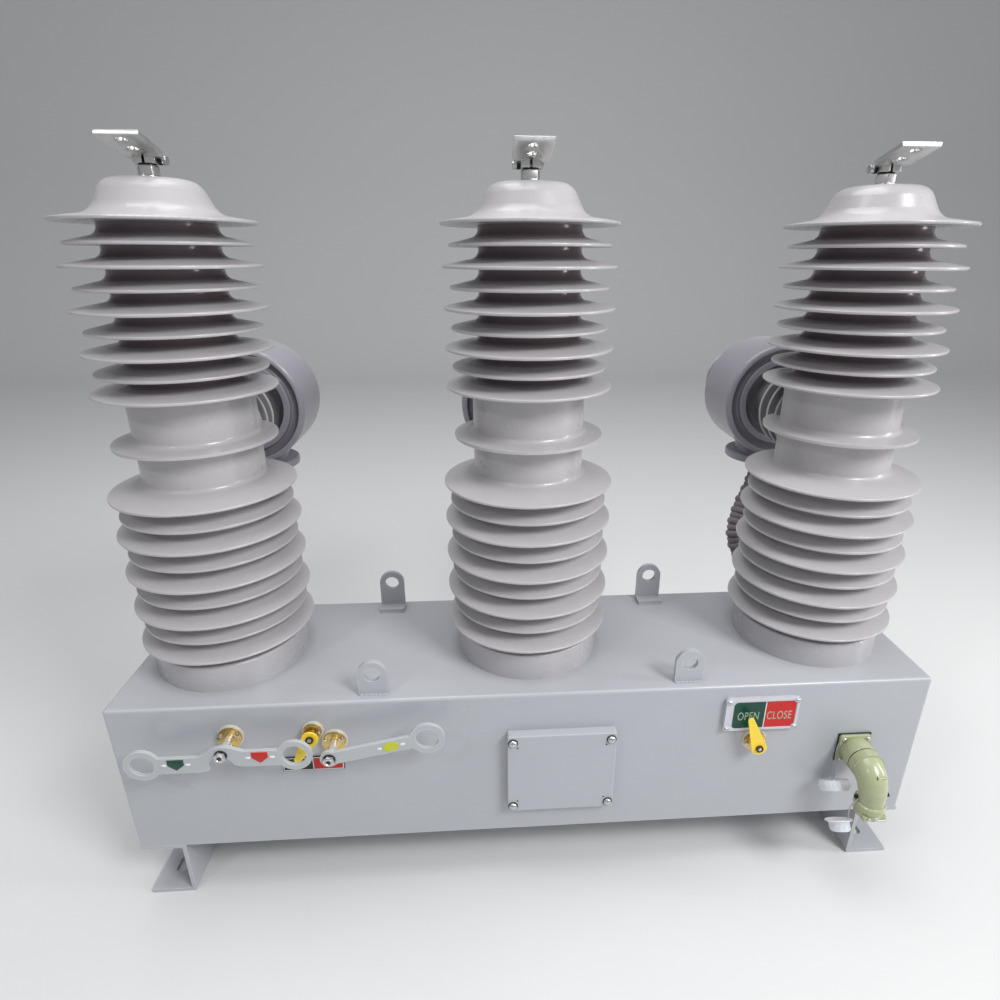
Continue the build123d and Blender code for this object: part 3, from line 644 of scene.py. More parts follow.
def make_bronzed_steel(colours):
    """Dark brown rings and studs on the shaft ends."""
    finish = Finish("bronzed steel", colours.bronzed_steel, 0.4, 0.5)
    finish.mottle(220.0, 1.2, 0.75, 1.25).wear(0.0004, 0.6, (0.72, 0.6, 0.4), 0.3).grain(1600, 0.00001)
    return finish.done()


def make_brass(colours):
    """Brass discs, patchy with tarnish, on a pale plated flange."""
    finish = Finish("turned brass", colours.brass, 0.3, 1.0)
    finish.mottle(150.0, 1.8, 0.5, 1.2)
    y = split(finish.tree, object_place(finish.tree))[1]
    flange = step_up(finish.tree, y, front_y - 0.0026, front_y - 0.0023)
    finish.cover(flange, linear((0.84, 0.83, 0.81)), 0.4, 0.3)
    finish.wear(0.0006, 0.6, (1.0, 0.95, 0.8), 0.2).grain(1400, 0.00001)
    return finish.done()


def make_handle_paint(colours):
    """Grey painted handle plates, pale along their cut edges where the paint is rubbed and as a painted edge
    highlight, on bare shafts.
    """
    finish = Finish("handle enamel", colours.handle_paint, 0.4)
    finish.mottle(14.0, 0.9, 0.93, 1.05).marks(0.25, (0.84, 0.84, 0.84), 60.0)
    # The pale edge colour is partly rubbed paint and partly a painted highlight along the plates' edges.
    finish.wear(0.0016, 0.9, (0.88, 0.89, 0.9), 0.35, patches=30.0)
    y = split(finish.tree, object_place(finish.tree))[1]
    shaft = step_up(finish.tree, y, front_y - 0.0289, front_y - 0.0286)
    finish.cover(shaft, linear((0.93, 0.92, 0.9)), 0.22, 0.75).grain(260, 0.00003, 2.0)
    return finish.done(coat=0.1)


def make_pointer_paint(colours):
    """Yellow pointer plates on bare shafts."""
    finish = Finish("pointer enamel", colours.pointer_yellow, 0.35)
    finish.mottle(40.0, 1.0, 0.9, 1.05).marks(0.2, (0.85, 0.7, 0.3), 90.0)
    finish.wear(0.0009, 0.6, (0.98, 0.9, 0.45), 0.35, patches=200.0)
    y = split(finish.tree, object_place(finish.tree))[1]
    shaft = step_up(finish.tree, y, front_y - 0.0148, front_y - 0.0146)
    finish.cover(shaft, linear((0.76, 0.72, 0.62)), 0.26, 1.0).grain(500, 0.00002)
    return finish.done(coat=0.15)


def make_print(name, colour, roughness=0.35):
    """Printed label film, faintly uneven and rubbed at its rim."""
    finish = Finish(name, colour, roughness)
    finish.mottle(60.0, 1.0, 0.86, 1.1).marks(0.05, (0.85, 0.85, 0.85), 120.0)
    finish.wear(0.0005, 0.3, (0.85, 0.85, 0.84), 0.5, patches=300.0).grain(900, 0.00001)
    return finish.done(coat=0.08, specular=0.35)


def make_window_frame(colours):
    """Pressed pale frame of the position indicator."""
    finish = Finish("indicator frame", colours.window_frame, 0.32, 0.35)
    finish.mottle(45.0, 1.0, 0.9, 1.06).wear(0.0012, 0.8, (0.92, 0.92, 0.94), 0.25, patches=80.0)
    finish.dust(0.2).grain(600, 0.00002, 2.0)
    return finish.done()


def make_gasket(colours):
    """Black rubber gasket."""
    finish = Finish("gasket rubber", colours.gasket, 0.7)
    finish.mottle(90.0, 1.2, 0.6, 1.6).dust(0.3, (0.35, 0.34, 0.33), 90.0)
    finish.wear(0.0006, 0.3, (0.25, 0.25, 0.25)).grain(2200, 0.00002)
    return finish.done()


def make_connector_enamel(colours):
    """Pale olive enamel over a cast connector body."""
    finish = Finish("connector enamel", colours.connector_green, 0.27)
    finish.mottle(26.0, 1.0, 0.9, 1.07).marks(0.14, (0.75, 0.77, 0.66), 70.0)
    finish.wear(0.0014, 0.7, (0.82, 0.85, 0.7), 0.25, patches=70.0).dust(0.12, (0.7, 0.7, 0.62), 40.0)
    finish.grain(520, 0.00003, 3.0)
    return finish.done(coat=0.4, coat_roughness=0.08)


def make_milky_plastic(colours):
    """Milky plastic of the dust caps, a little see-through and smudged."""
    finish = Finish("milky cap plastic", colours.cap_plastic, 0.38)
    finish.mottle(70.0, 1.0, 0.88, 1.05).dust(0.25, (0.7, 0.69, 0.66), 90.0)
    finish.wear(0.0008, 0.5, (0.95, 0.95, 0.96), 0.3).grain(900, 0.00002)
    return finish.done(transmission=0.12, subsurface=0.25)


def make_cord_nylon(colours):
    """Clear nylon of the cords."""
    finish = Finish("cord nylon", colours.cord, 0.35)
    finish.mottle(200.0, 1.0, 0.85, 1.08).wear(0.0003, 0.3, (0.95, 0.95, 0.95)).grain(3000, 0.00002)
    return finish.done(transmission=0.6)


def make_weld(colours):
    """Painted weld metal, rippled and a little darker than the sheet."""
    finish = Finish("painted weld", colours.case_paint, 0.4)
    finish.mottle(150.0, 1.3, 0.75, 1.05).dust(0.3, (0.62, 0.61, 0.6), 80.0)
    finish.wear(0.0008, 0.4, (0.82, 0.83, 0.85)).grain(900, 0.00005, 1.0)
    return finish.done()


def make_floor():
    """Plain pale floor."""
    finish = Finish("studio floor", (0.83, 0.83, 0.83), 0.7)
    finish.mottle(1.2, 0.5, 0.97, 1.03).grain(60, 0.0002)
    return finish.done(specular=0.2)


materials = {}


def make_finishes(colours):
    """Every effect group and finish, once."""
    make_edge_wear()
    make_mottling()
    make_settled_dust()
    make_fine_marks()
    make_grain()
    materials.update(
        case=make_case_paint(colours),
        silicone=make_silicone(colours),
        resin=make_resin(colours),
        hose=make_hose_rubber(colours),
        tinned=make_tinned_metal(colours),
        zinc=make_zinc(colours),
        dark=make_dark_steel(colours),
        bronze=make_bronzed_steel(colours),
        brass=make_brass(colours),
        handle=make_handle_paint(colours),
        pointer=make_pointer_paint(colours),
        black_print=make_print("black label print", colours.label_dark),
        green_print=make_print("green label print", colours.label_green),
        red_print=make_print("red label print", colours.label_red),
        lime_print=make_print("yellow green label print", colours.label_lime),
        pale_print=make_print("pale label print", colours.label_pale, 0.45),
        letter_print=make_print("letter print", colours.label_letters, 0.45),
        frame=make_window_frame(colours),
        gasket=make_gasket(colours),
        connector=make_connector_enamel(colours),
        milky=make_milky_plastic(colours),
        nylon=make_cord_nylon(colours),
        weld=make_weld(colours),
        floor=make_floor(),
    )


node_finishes = {
    "case": ["mechanism_case", "inspection_cover", "rail_left", "rail_right"]
    + [f"lifting_lug_{row}_{side}" for row in ("front", "rear") for side in ("left", "right")],
    "silicone": [f"pole_{name}" for name in pole_names],
    "resin": [f"current_transformer_{name}" for name in pole_names],
    "hose": [f"{kind}_{name}" for kind in ("lead_conduit", "conduit_gland") for name in pole_names],
    "tinned": [f"{kind}_terminal_{name}" for kind in ("top", "rear") for name in pole_names],
    "brass": ["trip_close_bushing", "charging_bushing", "charge_pointer_bushing", "position_pointer_bushing"],
    "handle": ["trip_close_handle", "charging_handle"],
    "pointer": ["charge_pointer", "position_pointer"],
    "black_print": ["charge_indicator_plate"],
    "frame": ["position_indicator_window"],
    "gasket": ["connector_gasket"],
    "connector": ["connector_socket", "connector_plug", "connector_cable_clamp"],
    "milky": ["dust_cap", "dust_cup"],
    "nylon": ["cap_cord", "cup_cord"],
}


# Sizes and colours that a user would change


def distance(name, description, default):
    """Length in metres."""
    return FloatProperty(
        name=name,
        description=description,
        default=default,
        min=0.0,
        unit="LENGTH",
        subtype="DISTANCE",
        precision=4,
    )


def colour(name, description, default):
    """Screen colour."""
    return FloatVectorProperty(
        name=name, description=description, default=default, size=3, min=0.0, max=1.0, subtype="COLOR_GAMMA"
    )


class RecloserSizes(bpy.types.PropertyGroup):
    """Sizes of the small fittings"""

    cover_bolt_radius: distance("Cover bolt radius", "Radius of the inspection cover's domed bolts", 0.0054)
    cover_bolt_inset: distance("Cover bolt inset", "From the cover's side to the bolt's axis", 0.007)
    cover_bolt_drop: distance("Cover bolt drop", "From the cover's top or foot to the bolt's axis", 0.0095)
    hub_bolt_across: distance("Hub bolt width", "Across the flats of the bolts on the handle hubs", 0.0125)
    label_width: distance("Handle label width", "Width of the arrow labels on the handles", 0.019)
    label_height: distance("Handle label height", "Height of the arrow labels on the handles", 0.0155)
    letter_height: distance("Letter height", "Height of the words on the position indicator", 0.0124)
    hose_bead_pitch: distance("Hose bead pitch", "From one bead of the lead hose to the next", 0.0095)
    hose_bead_radius: distance("Hose bead radius", "Radius of the larger beads of the lead hose", 0.0138)
    weld_pitch: distance("Weld ripple pitch", "From one ripple of a weld to the next", 0.0022)


class RecloserColours(bpy.types.PropertyGroup):
    """Colours of the finishes"""

    case_paint: colour("Case paint", "Enamel of the case, cover, rails and lugs", (0.68, 0.69, 0.712))
    silicone: colour("Silicone", "Rubber of the poles", (0.7, 0.69, 0.7))
    # Colour of the painted shade on the core between the upper sheds, not a colour of the rubber itself.
    painted_core_shade: colour("Silicone core", "Dark core between the upper sheds", (0.44, 0.39, 0.4))
    resin: colour("Cast resin", "Body of the ring transformers", (0.6, 0.588, 0.625))
    # Set darker than the pole silicone: the darker tone is painted shade on the lead hoses.
    hose: colour("Lead hose", "Rubber of the lead hoses and glands", (0.5, 0.475, 0.5))
    tinned_metal: colour("Tinned metal", "Terminals", (0.84, 0.84, 0.83))
    zinc: colour("Zinc", "Bolts, nuts and screws", (0.82, 0.82, 0.83))
    dark_steel: colour("Dark steel", "Blackened washers", (0.17, 0.17, 0.175))
    bronzed_steel: colour("Bronzed steel", "Rings round the pointers' shaft ends", (0.3, 0.21, 0.13))
    brass: colour("Brass", "Shaft bushings", (0.88, 0.76, 0.48))
    handle_paint: colour("Handle paint", "Handle plates", (0.7, 0.71, 0.72))
    pointer_yellow: colour("Pointer yellow", "Both pointers", (0.97, 0.84, 0.22))
    label_dark: colour("Label black", "Dark half of the charge label", (0.1, 0.14, 0.14))
    label_green: colour("Label green", "OPEN field and trip label", (0.0, 0.26, 0.2))
    label_red: colour("Label red", "CLOSE field and close label", (0.76, 0.1, 0.07))
    label_lime: colour("Label yellow green", "Charging label", (0.76, 0.78, 0.2))
    label_pale: colour("Label pale", "Borders and rivets", (0.86, 0.87, 0.87))
    label_letters: colour("Label letters", "Letters of the position indicator", (0.6, 0.67, 0.6))
    window_frame: colour("Indicator frame", "Pressed frame of the position indicator", (0.8, 0.8, 0.83))
    gasket: colour("Gasket", "Rubber under the connector", (0.08, 0.08, 0.085))
    connector_green: colour("Connector green", "Enamel of the connector", (0.64, 0.665, 0.52))
    cap_plastic: colour("Cap plastic", "Dust caps", (0.92, 0.92, 0.94))
    cord: colour("Cord", "Nylon cords of the caps", (0.8, 0.8, 0.79))


def sizes():
    """The sizes that are set in the scene."""
    return bpy.context.scene.recloser_sizes


# Caps and cords

cord_diameter = 0.0016
cap_spot = {"x": 0.4015, "gap": 0.024, "z": 0.1475, "tilt": 42}
cup_spot = {"x": 0.3980, "gap": 0.0552, "z": 0.1109, "tilt": 40}
cap_cord_route = [
    (0.4065, -0.2415, 0.2085),
    (0.4040, -0.2430, 0.2045),
    (0.4025, -0.2450, 0.1905),
    (0.4020, -0.2490, 0.1735),
    (0.4015, -0.2532, 0.1575),
]
cup_cord_route = [
    (0.4115, -0.2925, 0.1655),
    (0.4008, -0.2955, 0.1595),
    (0.4006, -0.2950, 0.1455),
    (0.4029, -0.2940, 0.1320),
]


def hanging_cord(name, route, cord_node):
    """Thin cord along its route, hung from its first point to a cap."""
    line = smooth_line(name, route)
    line.bevel_depth = cord_diameter / 2
    line.bevel_resolution = 3
    line.use_fill_caps = True
    line.materials.append(materials["nylon"])
    cord = bpy.data.objects.new(name, line)
    bpy.context.scene.collection.objects.link(cord)
    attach(cord, "recloser")
    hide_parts(cord_node)


def add_ribs(shape, place, rib_size, count, radius, height):
    """Add an even ring of small upright ribs."""
    for index in range(count):
        rib = soften(block(*rib_size), 0.0002)
        turn = Matrix.Rotation(tau * index / count, 4, "Z")
        add_shape(shape, rib, place @ turn @ Matrix.Translation((radius, 0, height)))


class RECLOSER_OT_cords(bpy.types.Operator):
    """Dust cap, dust cup and the thin cords that they hang on"""

    bl_idname = "recloser.cords"
    bl_label = "Caps and cords"

    def execute(self, context):
        outline = [(0, 0.0105), (0.0158, 0.0105), (0.0158, 0.0012), (0.0166, 0), (0.0182, 0), (0.02, 0.0044)]
        outline += [(0.02, 0.0066), (0.0186, 0.0124), (0.0178, 0.013), (0.0135, 0.013)]
        outline += [(0.013, 0.0124), (0, 0.0124)]
        place = hanging(**cap_spot)
        shape = bmesh.new()
        add_shape(shape, turned(outline, 48), place)
        add_ribs(shape, place, (0.0006, 0.0012, 0.0036), 24, 0.0198, 0.0048)
        eye = disc(0.0022, 0.0012, 16, inner=0.0012)
        add_shape(shape, eye, place @ Matrix.Translation((0, 0, 0.012)))
        cap = finish_piece("dust_cap_moulding", shape, "milky")
        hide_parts("dust_cap")

        outline = [(0, 0), (0.0108, 0), (0.012, 0.0012), (0.013, 0.0112), (0.0136, 0.012), (0.0162, 0.012)]
        outline += [(0.017, 0.0126), (0.017, 0.0134), (0.0164, 0.014), (0.0112, 0.014)]
        outline += [(0.0105, 0.0134), (0.0096, 0.0026), (0, 0.0026)]
        place = hanging(**cup_spot)
        shape = bmesh.new()
        add_shape(shape, turned(outline, 48), place)
        add_ribs(shape, place, (0.0008, 0.0007, 0.0085), 12, 0.0124, 0.002)
        add_shape(shape, dome_head(0.0022, 0.0016), place @ Matrix.Translation((0.0049, -0.0132, 0.0138)))
        cup = finish_piece("dust_cup_moulding", shape, "milky")
        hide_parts("dust_cup")

        hanging_cord("cap_cord_line", cap_cord_route, "cap_cord")
        hanging_cord("cup_cord_line", cup_cord_route, "cup_cord")
        return {"FINISHED"}


# Finishes of the frame's own nodes


class RECLOSER_OT_finishes(bpy.types.Operator):
    """Give every frame node its finish"""

    bl_idname = "recloser.finishes"
    bl_label = "Finishes"

    def execute(self, context):
        dressed = set()
        for finish, names in node_finishes.items():
            for name in names:
                nodes[name].data.materials.clear()
                nodes[name].data.materials.append(materials[finish])
                dressed.add(name)
        plain = sorted(set(nodes) - dressed)
        if plain:
            raise RuntimeError(f"nodes without a finish: {plain}")
        return {"FINISHED"}


# Fittings

let_in = 0.0001
handle_face = 0.033
charge_pointer_face = 0.017
position_pointer_face = 0.018


class RECLOSER_OT_cover_bolts(bpy.types.Operator):
    """Domed bolts and small rivets of the inspection cover"""

    bl_idname = "recloser.cover_bolts"
    bl_label = "Cover bolts"

    def execute(self, context):
        low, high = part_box("inspection_cover")
        gap = front_y - low.y
        inset, drop, radius = sizes().cover_bolt_inset, sizes().cover_bolt_drop, sizes().cover_bolt_radius
        washer_height = 0.0012
        bolts, washers, rivets = bmesh.new(), bmesh.new(), bmesh.new()
        for x, inward in ((low.x + inset, 1), (high.x - inset, -1)):
            for z, rise in ((low.z + drop, 1), (high.z - drop, -1)):
                washer = disc(radius * 1.16, washer_height, inner=0.003, round_edge=0.0003)
                add_shape(washers, washer, on_front(x, z, gap - let_in))
                head = dome_head(radius, radius * 0.72)
                add_shape(bolts, head, on_front(x, z, gap + washer_height - let_in))
                rivet = dome_head(0.0011, 0.0005)
                add_shape(rivets, rivet, on_front(x + inward * 0.006, z + rise * 0.008, gap))
        finish_piece("cover_bolt_washers", washers, "dark")
        finish_piece("cover_bolts", bolts, "zinc")
        finish_piece("cover_rivets", rivets, "dark")
        return {"FINISHED"}


class RECLOSER_OT_bushing_screws(bpy.types.Operator):
    """Screws that hold the brass bushings on the case front"""

    bl_idname = "recloser.bushing_screws"
    bl_label = "Bushing screws"

    def execute(self, context):
        flange_lip, edge_margin = 0.0015, 0.0006
        screws = bmesh.new()
        for name, count, start, radius in (
            ("trip_close_bushing", 3, 30, 0.0026),
            ("charging_bushing", 3, 30, 0.0026),
            ("position_pointer_bushing", 2, 12, 0.0028),
            ("charge_pointer_bushing", 2, 12, 0.002),
        ):
            low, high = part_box(name)
            hub = middle(name)
            gap = front_y - low.y - let_in
            circle = (high.x - low.x) / 2 - flange_lip - radius - edge_margin
            for index in range(count):
                turn = radians(start) + tau * index / count
                x, z = hub.x + circle * cos(turn), hub.z + circle * sin(turn)
                add_shape(screws, crossed_screw(radius, 0.0019), on_front(x, z, gap, turn))
        finish_piece("bushing_screws", screws, "zinc")
        return {"FINISHED"}


def hub_bolt(name, hub, body):
    """Hexagon bolt with a dark washer on the shaft end of a handle."""
    across = sizes().hub_bolt_across
    washer_height, head_height = 0.0013, 0.0042
    head_foot = handle_face + washer_height - let_in
    head_top = head_foot + head_height
    place = on_front(hub.x, hub.z, handle_face)
    washer = disc(across * 0.6, washer_height, round_edge=0.0003)
    placed_piece(f"{name}_washer", washer, place, "dark", body)
    shape = bmesh.new()
    head = hexagon(across, head_height, 0.0006)
    add_shape(shape, head, on_front(hub.x, hub.z, head_foot, radians(12)))
    rim = across * 0.42
    dish = turned([(0.003, 0), (rim, 0), (rim, 0.0008), (0.0036, 0.0008)], 24, closed=True)
    add_shape(shape, dish, on_front(hub.x, hub.z, head_top))
    finish_piece(f"{name}_bolt", shape, "zinc", body)
    place = on_front(hub.x, hub.z, head_top - let_in)
    placed_piece(f"{name}_stud", dome_head(0.0028, 0.0005), place, "bronze", body)


def pointer_screw(body, gap):
    """Dark ring round a pointer's shaft end, with a bright screw in it."""
    hub = middle(f"{body}_bushing")
    outline = [(0, 0), (0.0049, 0), (0.0047, 0.0028), (0.0029, 0.0028), (0.0029, 0.0021), (0, 0.0021)]
    ring = soften(turned(outline, 32), 0.0003)
    placed_piece(f"{body}_ring", ring, on_front(hub.x, hub.z, gap), "bronze", body)
    screw = dome_head(0.0027, 0.0013)
    placed_piece(f"{body}_screw", screw, on_front(hub.x, hub.z, gap + 0.002), "zinc", body)


def arrow_label(name, x, z, finish):
    """Label on the trip and close handle, an arrow that points down."""
    half, top = sizes().label_width / 2, sizes().label_height / 2
    shoulder = -sizes().label_height * 0.02
    arrow = [(-half, top), (-half, shoulder), (0, -top), (half, shoulder), (half, top)]
    label = soften(flat_plate(arrow, 0.0005), 0.00015)
    placed_piece(name, label, on_front(x, z, handle_face), finish, "trip_close_handle")


def rivet_pair(name, x, z, spacing, body, turn=0.0):
    """Two pale oval rivets, one on each side of a label."""
    oval = Matrix.Diagonal((1.75, 0.95, 1.0, 1.0))
    shape = bmesh.new()
    for side in (-1, 1):
        place = on_front(x, z, handle_face, turn) @ Matrix.Translation((side * spacing / 2, 0, 0)) @ oval
        add_shape(shape, dome_head(0.0017, 0.0009, 0.0003), place)
    finish_piece(name, shape, "pale_print", body)


class RECLOSER_OT_handle_fittings(bpy.types.Operator):
    """Hub bolts, labels and rivets of both handles"""

    bl_idname = "recloser.handle_fittings"
    bl_label = "Handle fittings"

    def execute(self, context):
        trip, charge = middle("trip_close_bushing"), middle("charging_bushing")
        hub_bolt("trip_hub", trip, "trip_close_handle")
        hub_bolt("charging_hub", charge, "charging_handle")
        for name, x, z, finish, spacing in (
            ("trip_label", trip.x - 0.0532, trip.z - 0.0113, "green_print", 0.0272),
            ("close_label", trip.x + 0.0442, trip.z - 0.0052, "red_print", 0.028),
        ):
            arrow_label(name, x, z, finish)
            rivet_pair(f"{name}_rivets", x, z, spacing, "trip_close_handle")
        turn, out = radians(11.6), 0.0755
        x, z = charge.x + out * cos(turn), charge.z + out * sin(turn)
        oval = bmesh.new()
        bmesh.ops.create_circle(oval, cap_ends=True, segments=32, radius=1.0)
        bmesh.ops.scale(oval, vec=(0.0098, 0.0064, 1.0), verts=oval.verts)
        label, place = thicken(oval, 0.0005), on_front(x, z, handle_face, turn)
        placed_piece("charging_label", label, place, "lime_print", "charging_handle")
        rivet_pair("charging_label_rivets", x, z, 0.028, "charging_handle", turn)
        return {"FINISHED"}


class RECLOSER_OT_charge_label(bpy.types.Operator):
    """Red half and borders of the charge label, and the charge pointer's screw"""

    bl_idname = "recloser.charge_label"
    bl_label = "Charge label"

    def execute(self, context):
        low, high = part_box("charge_indicator_plate")
        centre = middle("charge_indicator_plate")
        gap = front_y - low.y - let_in
        width, height = high.x - low.x, high.z - low.z
        half = block(width / 2 - 0.002, height - 0.004, 0.0003)
        place = on_front(centre.x + width / 4, centre.z, gap)
        placed_piece("charge_label_red", half, place, "red_print")
        lines = bmesh.new()
        line, inset, thick = 0.0011, 0.0012, 0.00035
        for z in (low.z + inset, high.z - inset):
            add_shape(lines, block(width - 2 * inset, line, thick), on_front(centre.x, z, gap))
        for x in (low.x + inset, centre.x, high.x - inset):
            add_shape(lines, block(line, height - 2 * inset, thick), on_front(x, centre.z, gap))
        finish_piece("charge_label_lines", lines, "pale_print")
        pointer_screw("charge_pointer", charge_pointer_face)
        return {"FINISHED"}


def word(name, text, x, z, gap, width):
    """Flat word in plain letters, cut from a text and fitted to a width and the letter height."""
    letters = bpy.data.curves.new(name, "FONT")
    letters.body = text
    letters.extrude = 0.02
    letters.offset = 0.002
    letters.space_character = 1.08
    shape = shape_of(letters)
    xs = [vertex.co.x for vertex in shape.verts]
    ys = [vertex.co.y for vertex in shape.verts]
    off_centre = (-(min(xs) + max(xs)) / 2, -(min(ys) + max(ys)) / 2, 0)
    bmesh.ops.translate(shape, verts=shape.verts, vec=off_centre)
    scale = (width / (max(xs) - min(xs)), sizes().letter_height / (max(ys) - min(ys)), 0.006)
    bmesh.ops.scale(shape, vec=scale, verts=shape.verts)
    placed_piece(name, shape, on_front(x, z, gap), "letter_print")


class RECLOSER_OT_position_indicator(bpy.types.Operator):
    """Green and red fields, divider, words, posts and bolts of the position indicator"""

    bl_idname = "recloser.position_indicator"
    bl_label = "Position indicator"

    def execute(self, context):
        low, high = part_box("position_indicator_window")
        centre = middle("position_indicator_window")
        gap = front_y - low.y - 0.001
        corner, tall = 0.0036, 0.0202
        far_left, split_x, far_right = -0.0373, 0.004, 0.0438
        left = [(far_left, -tall + corner), (far_left, tall - corner), (far_left + corner, tall)]
        left += [(split_x, tall), (split_x, -tall), (far_left + corner, -tall)]
        right = [(split_x, -tall), (split_x, tall), (far_right - corner, tall)]
        right += [(far_right, tall - corner), (far_right, -tall + corner), (far_right - corner, -tall)]
        level = centre.z - 0.001
        place = on_front(centre.x, level, gap)
        placed_piece("open_field", flat_plate(left, 0.0005), place, "green_print")
        placed_piece("close_field", flat_plate(right, 0.0005), place, "red_print")
        divider = block(0.0013, 2 * tall - 0.001, 0.0006)
        place = on_front(centre.x + split_x, level, gap)
        placed_piece("field_divider", divider, place, "pale_print")
        word("open_word", "OPEN", centre.x - 0.0176, level - 0.0009, gap + 0.0004, 0.0275)
        word("close_word", "CLOSE", centre.x + 0.0232, level - 0.0011, gap + 0.0004, 0.0324)
        bolts, posts = bmesh.new(), bmesh.new()
        inset = 0.0036
        front = front_y - low.y
        for x in (low.x + inset, high.x - inset):
            for z in (low.z + inset, high.z - inset):
                post = disc(0.0041, front + 0.0006, 24, round_edge=0.0004)
                add_shape(posts, post, on_front(x, z, -let_in))
                add_shape(bolts, dome_head(0.0032, 0.0022), on_front(x, z, front + 0.0004))
        finish_piece("indicator_posts", posts, "frame")
        finish_piece("indicator_bolts", bolts, "zinc")
        pointer_screw("position_pointer", position_pointer_face)
        return {"FINISHED"}


socket_flange_face = 0.006
plug_leg = 0.055


def socket_trim(axis):
    """Corner screws, sleeve and joint ring of the socket."""
    spread = 0.0162
    shape = bmesh.new()
    for x in (axis.x - spread, axis.x + spread):
        for z in (axis.z - spread, axis.z + spread):
            place = on_front(x, z, socket_flange_face - let_in)
            add_shape(shape, dome_head(0.0029, 0.0019, 0.0005), place)
    finish_piece("socket_screws", shape, "zinc")
    outline = [(0.0165, 0), (0.0196, 0), (0.0204, 0.0012)]
    outline += [(0.0204, 0.0186), (0.0196, 0.0206), (0.0165, 0.0206)]
    sleeve = turned(outline, 48, closed=True)
    place = on_front(axis.x, axis.z, socket_flange_face)
    placed_piece("socket_sleeve", sleeve, place, "connector")
    joint = disc(0.0203, 0.0016, 48, inner=0.0185)
    place = on_front(axis.x, axis.z, 0.0265)
    placed_piece("plug_joint_ring", joint, place, "gasket")


def plug_trim(axis):
    """Side stubs, locking pin with its eye, and collar bead of the plug."""
    shape = bmesh.new()
    for side, gap, z, length in ((-1, 0.0515, axis.z - 0.0335, 0.004), (1, 0.058, axis.z - 0.026, 0.005)):
        outline = [(0, 0), (0.0027, 0), (0.0027, length), (0.0012, length)]
        outline += [(0.0012, length - 0.0012), (0, length - 0.0012)]
        stub = soften(turned(outline, 20), 0.0003)
        add_shape(shape, stub, along((axis.x + side * 0.0148, front_y - gap, z), (side, 0, 0)))
    finish_piece("plug_stub_screws", shape, "dark")
    start = Vector((axis.x - 0.0045, front_y - 0.0592, axis.z + 0.0028))
    out = Vector((0.0160, -0.0016, 0.0014)).normalized()
    pin = turned([(0, 0), (0.0012, 0), (0.0012, 0.0138), (0.0007, 0.0158), (0, 0.0158)], 16)
    placed_piece("plug_locking_pin", pin, along(start, out), "connector")
    eye = turned([(0.001, 0), (0.0027, 0), (0.0024, 0.001), (0.001, 0.0012)], 20, closed=True)
    placed_piece("plug_locking_eye", eye, along(start + out * 0.0018, out), "dark")
    outline = [(0.0158, 0), (0.0184, 0), (0.0185, 0.0009), (0.0176, 0.0019), (0.0158, 0.0022)]
    bead = turned(outline, 48, closed=True)
    place = upright(axis.x, front_y - plug_leg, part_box("connector_cable_clamp")[1].z + 0.0076)
    placed_piece("plug_collar_bead", bead, place, "connector")


def clamp_trim(axis):
    """Front screws of the clamp, and the stud that stands out at its side."""
    low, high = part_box("connector_cable_clamp")
    shape = bmesh.new()
    for x in (-0.0082, 0.0006):
        place = on_front(axis.x + x, low.z + 0.0032, plug_leg + 0.0161)
        add_shape(shape, dome_head(0.0027, 0.0017, 0.0005), place)
    tip = turned([(0, 0), (0.0013, 0), (0.0013, 0.0105), (0.0007, 0.0115), (0, 0.0115)], 12)
    add_shape(shape, tip, along((axis.x + 0.0022, low.y + 0.0004, low.z + 0.0014), (1, 0, 0)))
    finish_piece("clamp_screws", shape, "zinc")


class RECLOSER_OT_connector_trim(bpy.types.Operator):
    """Screws, joint ring, locking pin, collar bead and stubs of the control connector"""

    bl_idname = "recloser.connector_trim"
    bl_label = "Connector trim"

    def execute(self, context):
        axis = middle("connector_socket")
        socket_trim(axis)
        plug_trim(axis)
        clamp_trim(axis)
        return {"FINISHED"}


# Top terminals


def flat_bar(outline, holes, thickness, round_edge):
    """Plate with round holes and rounded edges, centred on the local XY plane."""
    line = bpy.data.curves.new("flat_bar", "CURVE")
    line.dimensions = "2D"
    line.fill_mode = "BOTH"
    line.extrude = thickness / 2 - round_edge
    line.bevel_depth = round_edge
    line.bevel_resolution = 1
    line.offset = -round_edge
    for points in (outline, *[arc_points(x, y, radius, 0, 348.75, 31) for x, y, radius in holes]):
        spline = line.splines.new("POLY")
        spline.points.add(len(points) - 1)
        for point, (x, y) in zip(spline.points, points):
            point.co = (x, y, 0.0, 1.0)
        spline.use_cyclic_u = True
    shape = shape_of(line)
    bmesh.ops.remove_doubles(shape, verts=shape.verts, dist=1e-6)
    bmesh.ops.recalc_face_normals(shape, faces=shape.faces)
    return shape


def arc_points(x, y, radius, start, end, steps=8):
    """Points of an arc about a centre, its angles in degrees."""
    turns = [radians(start + (end - start) * step / steps) for step in range(steps + 1)]
    return [(x + radius * cos(turn), y + radius * sin(turn)) for turn in turns]


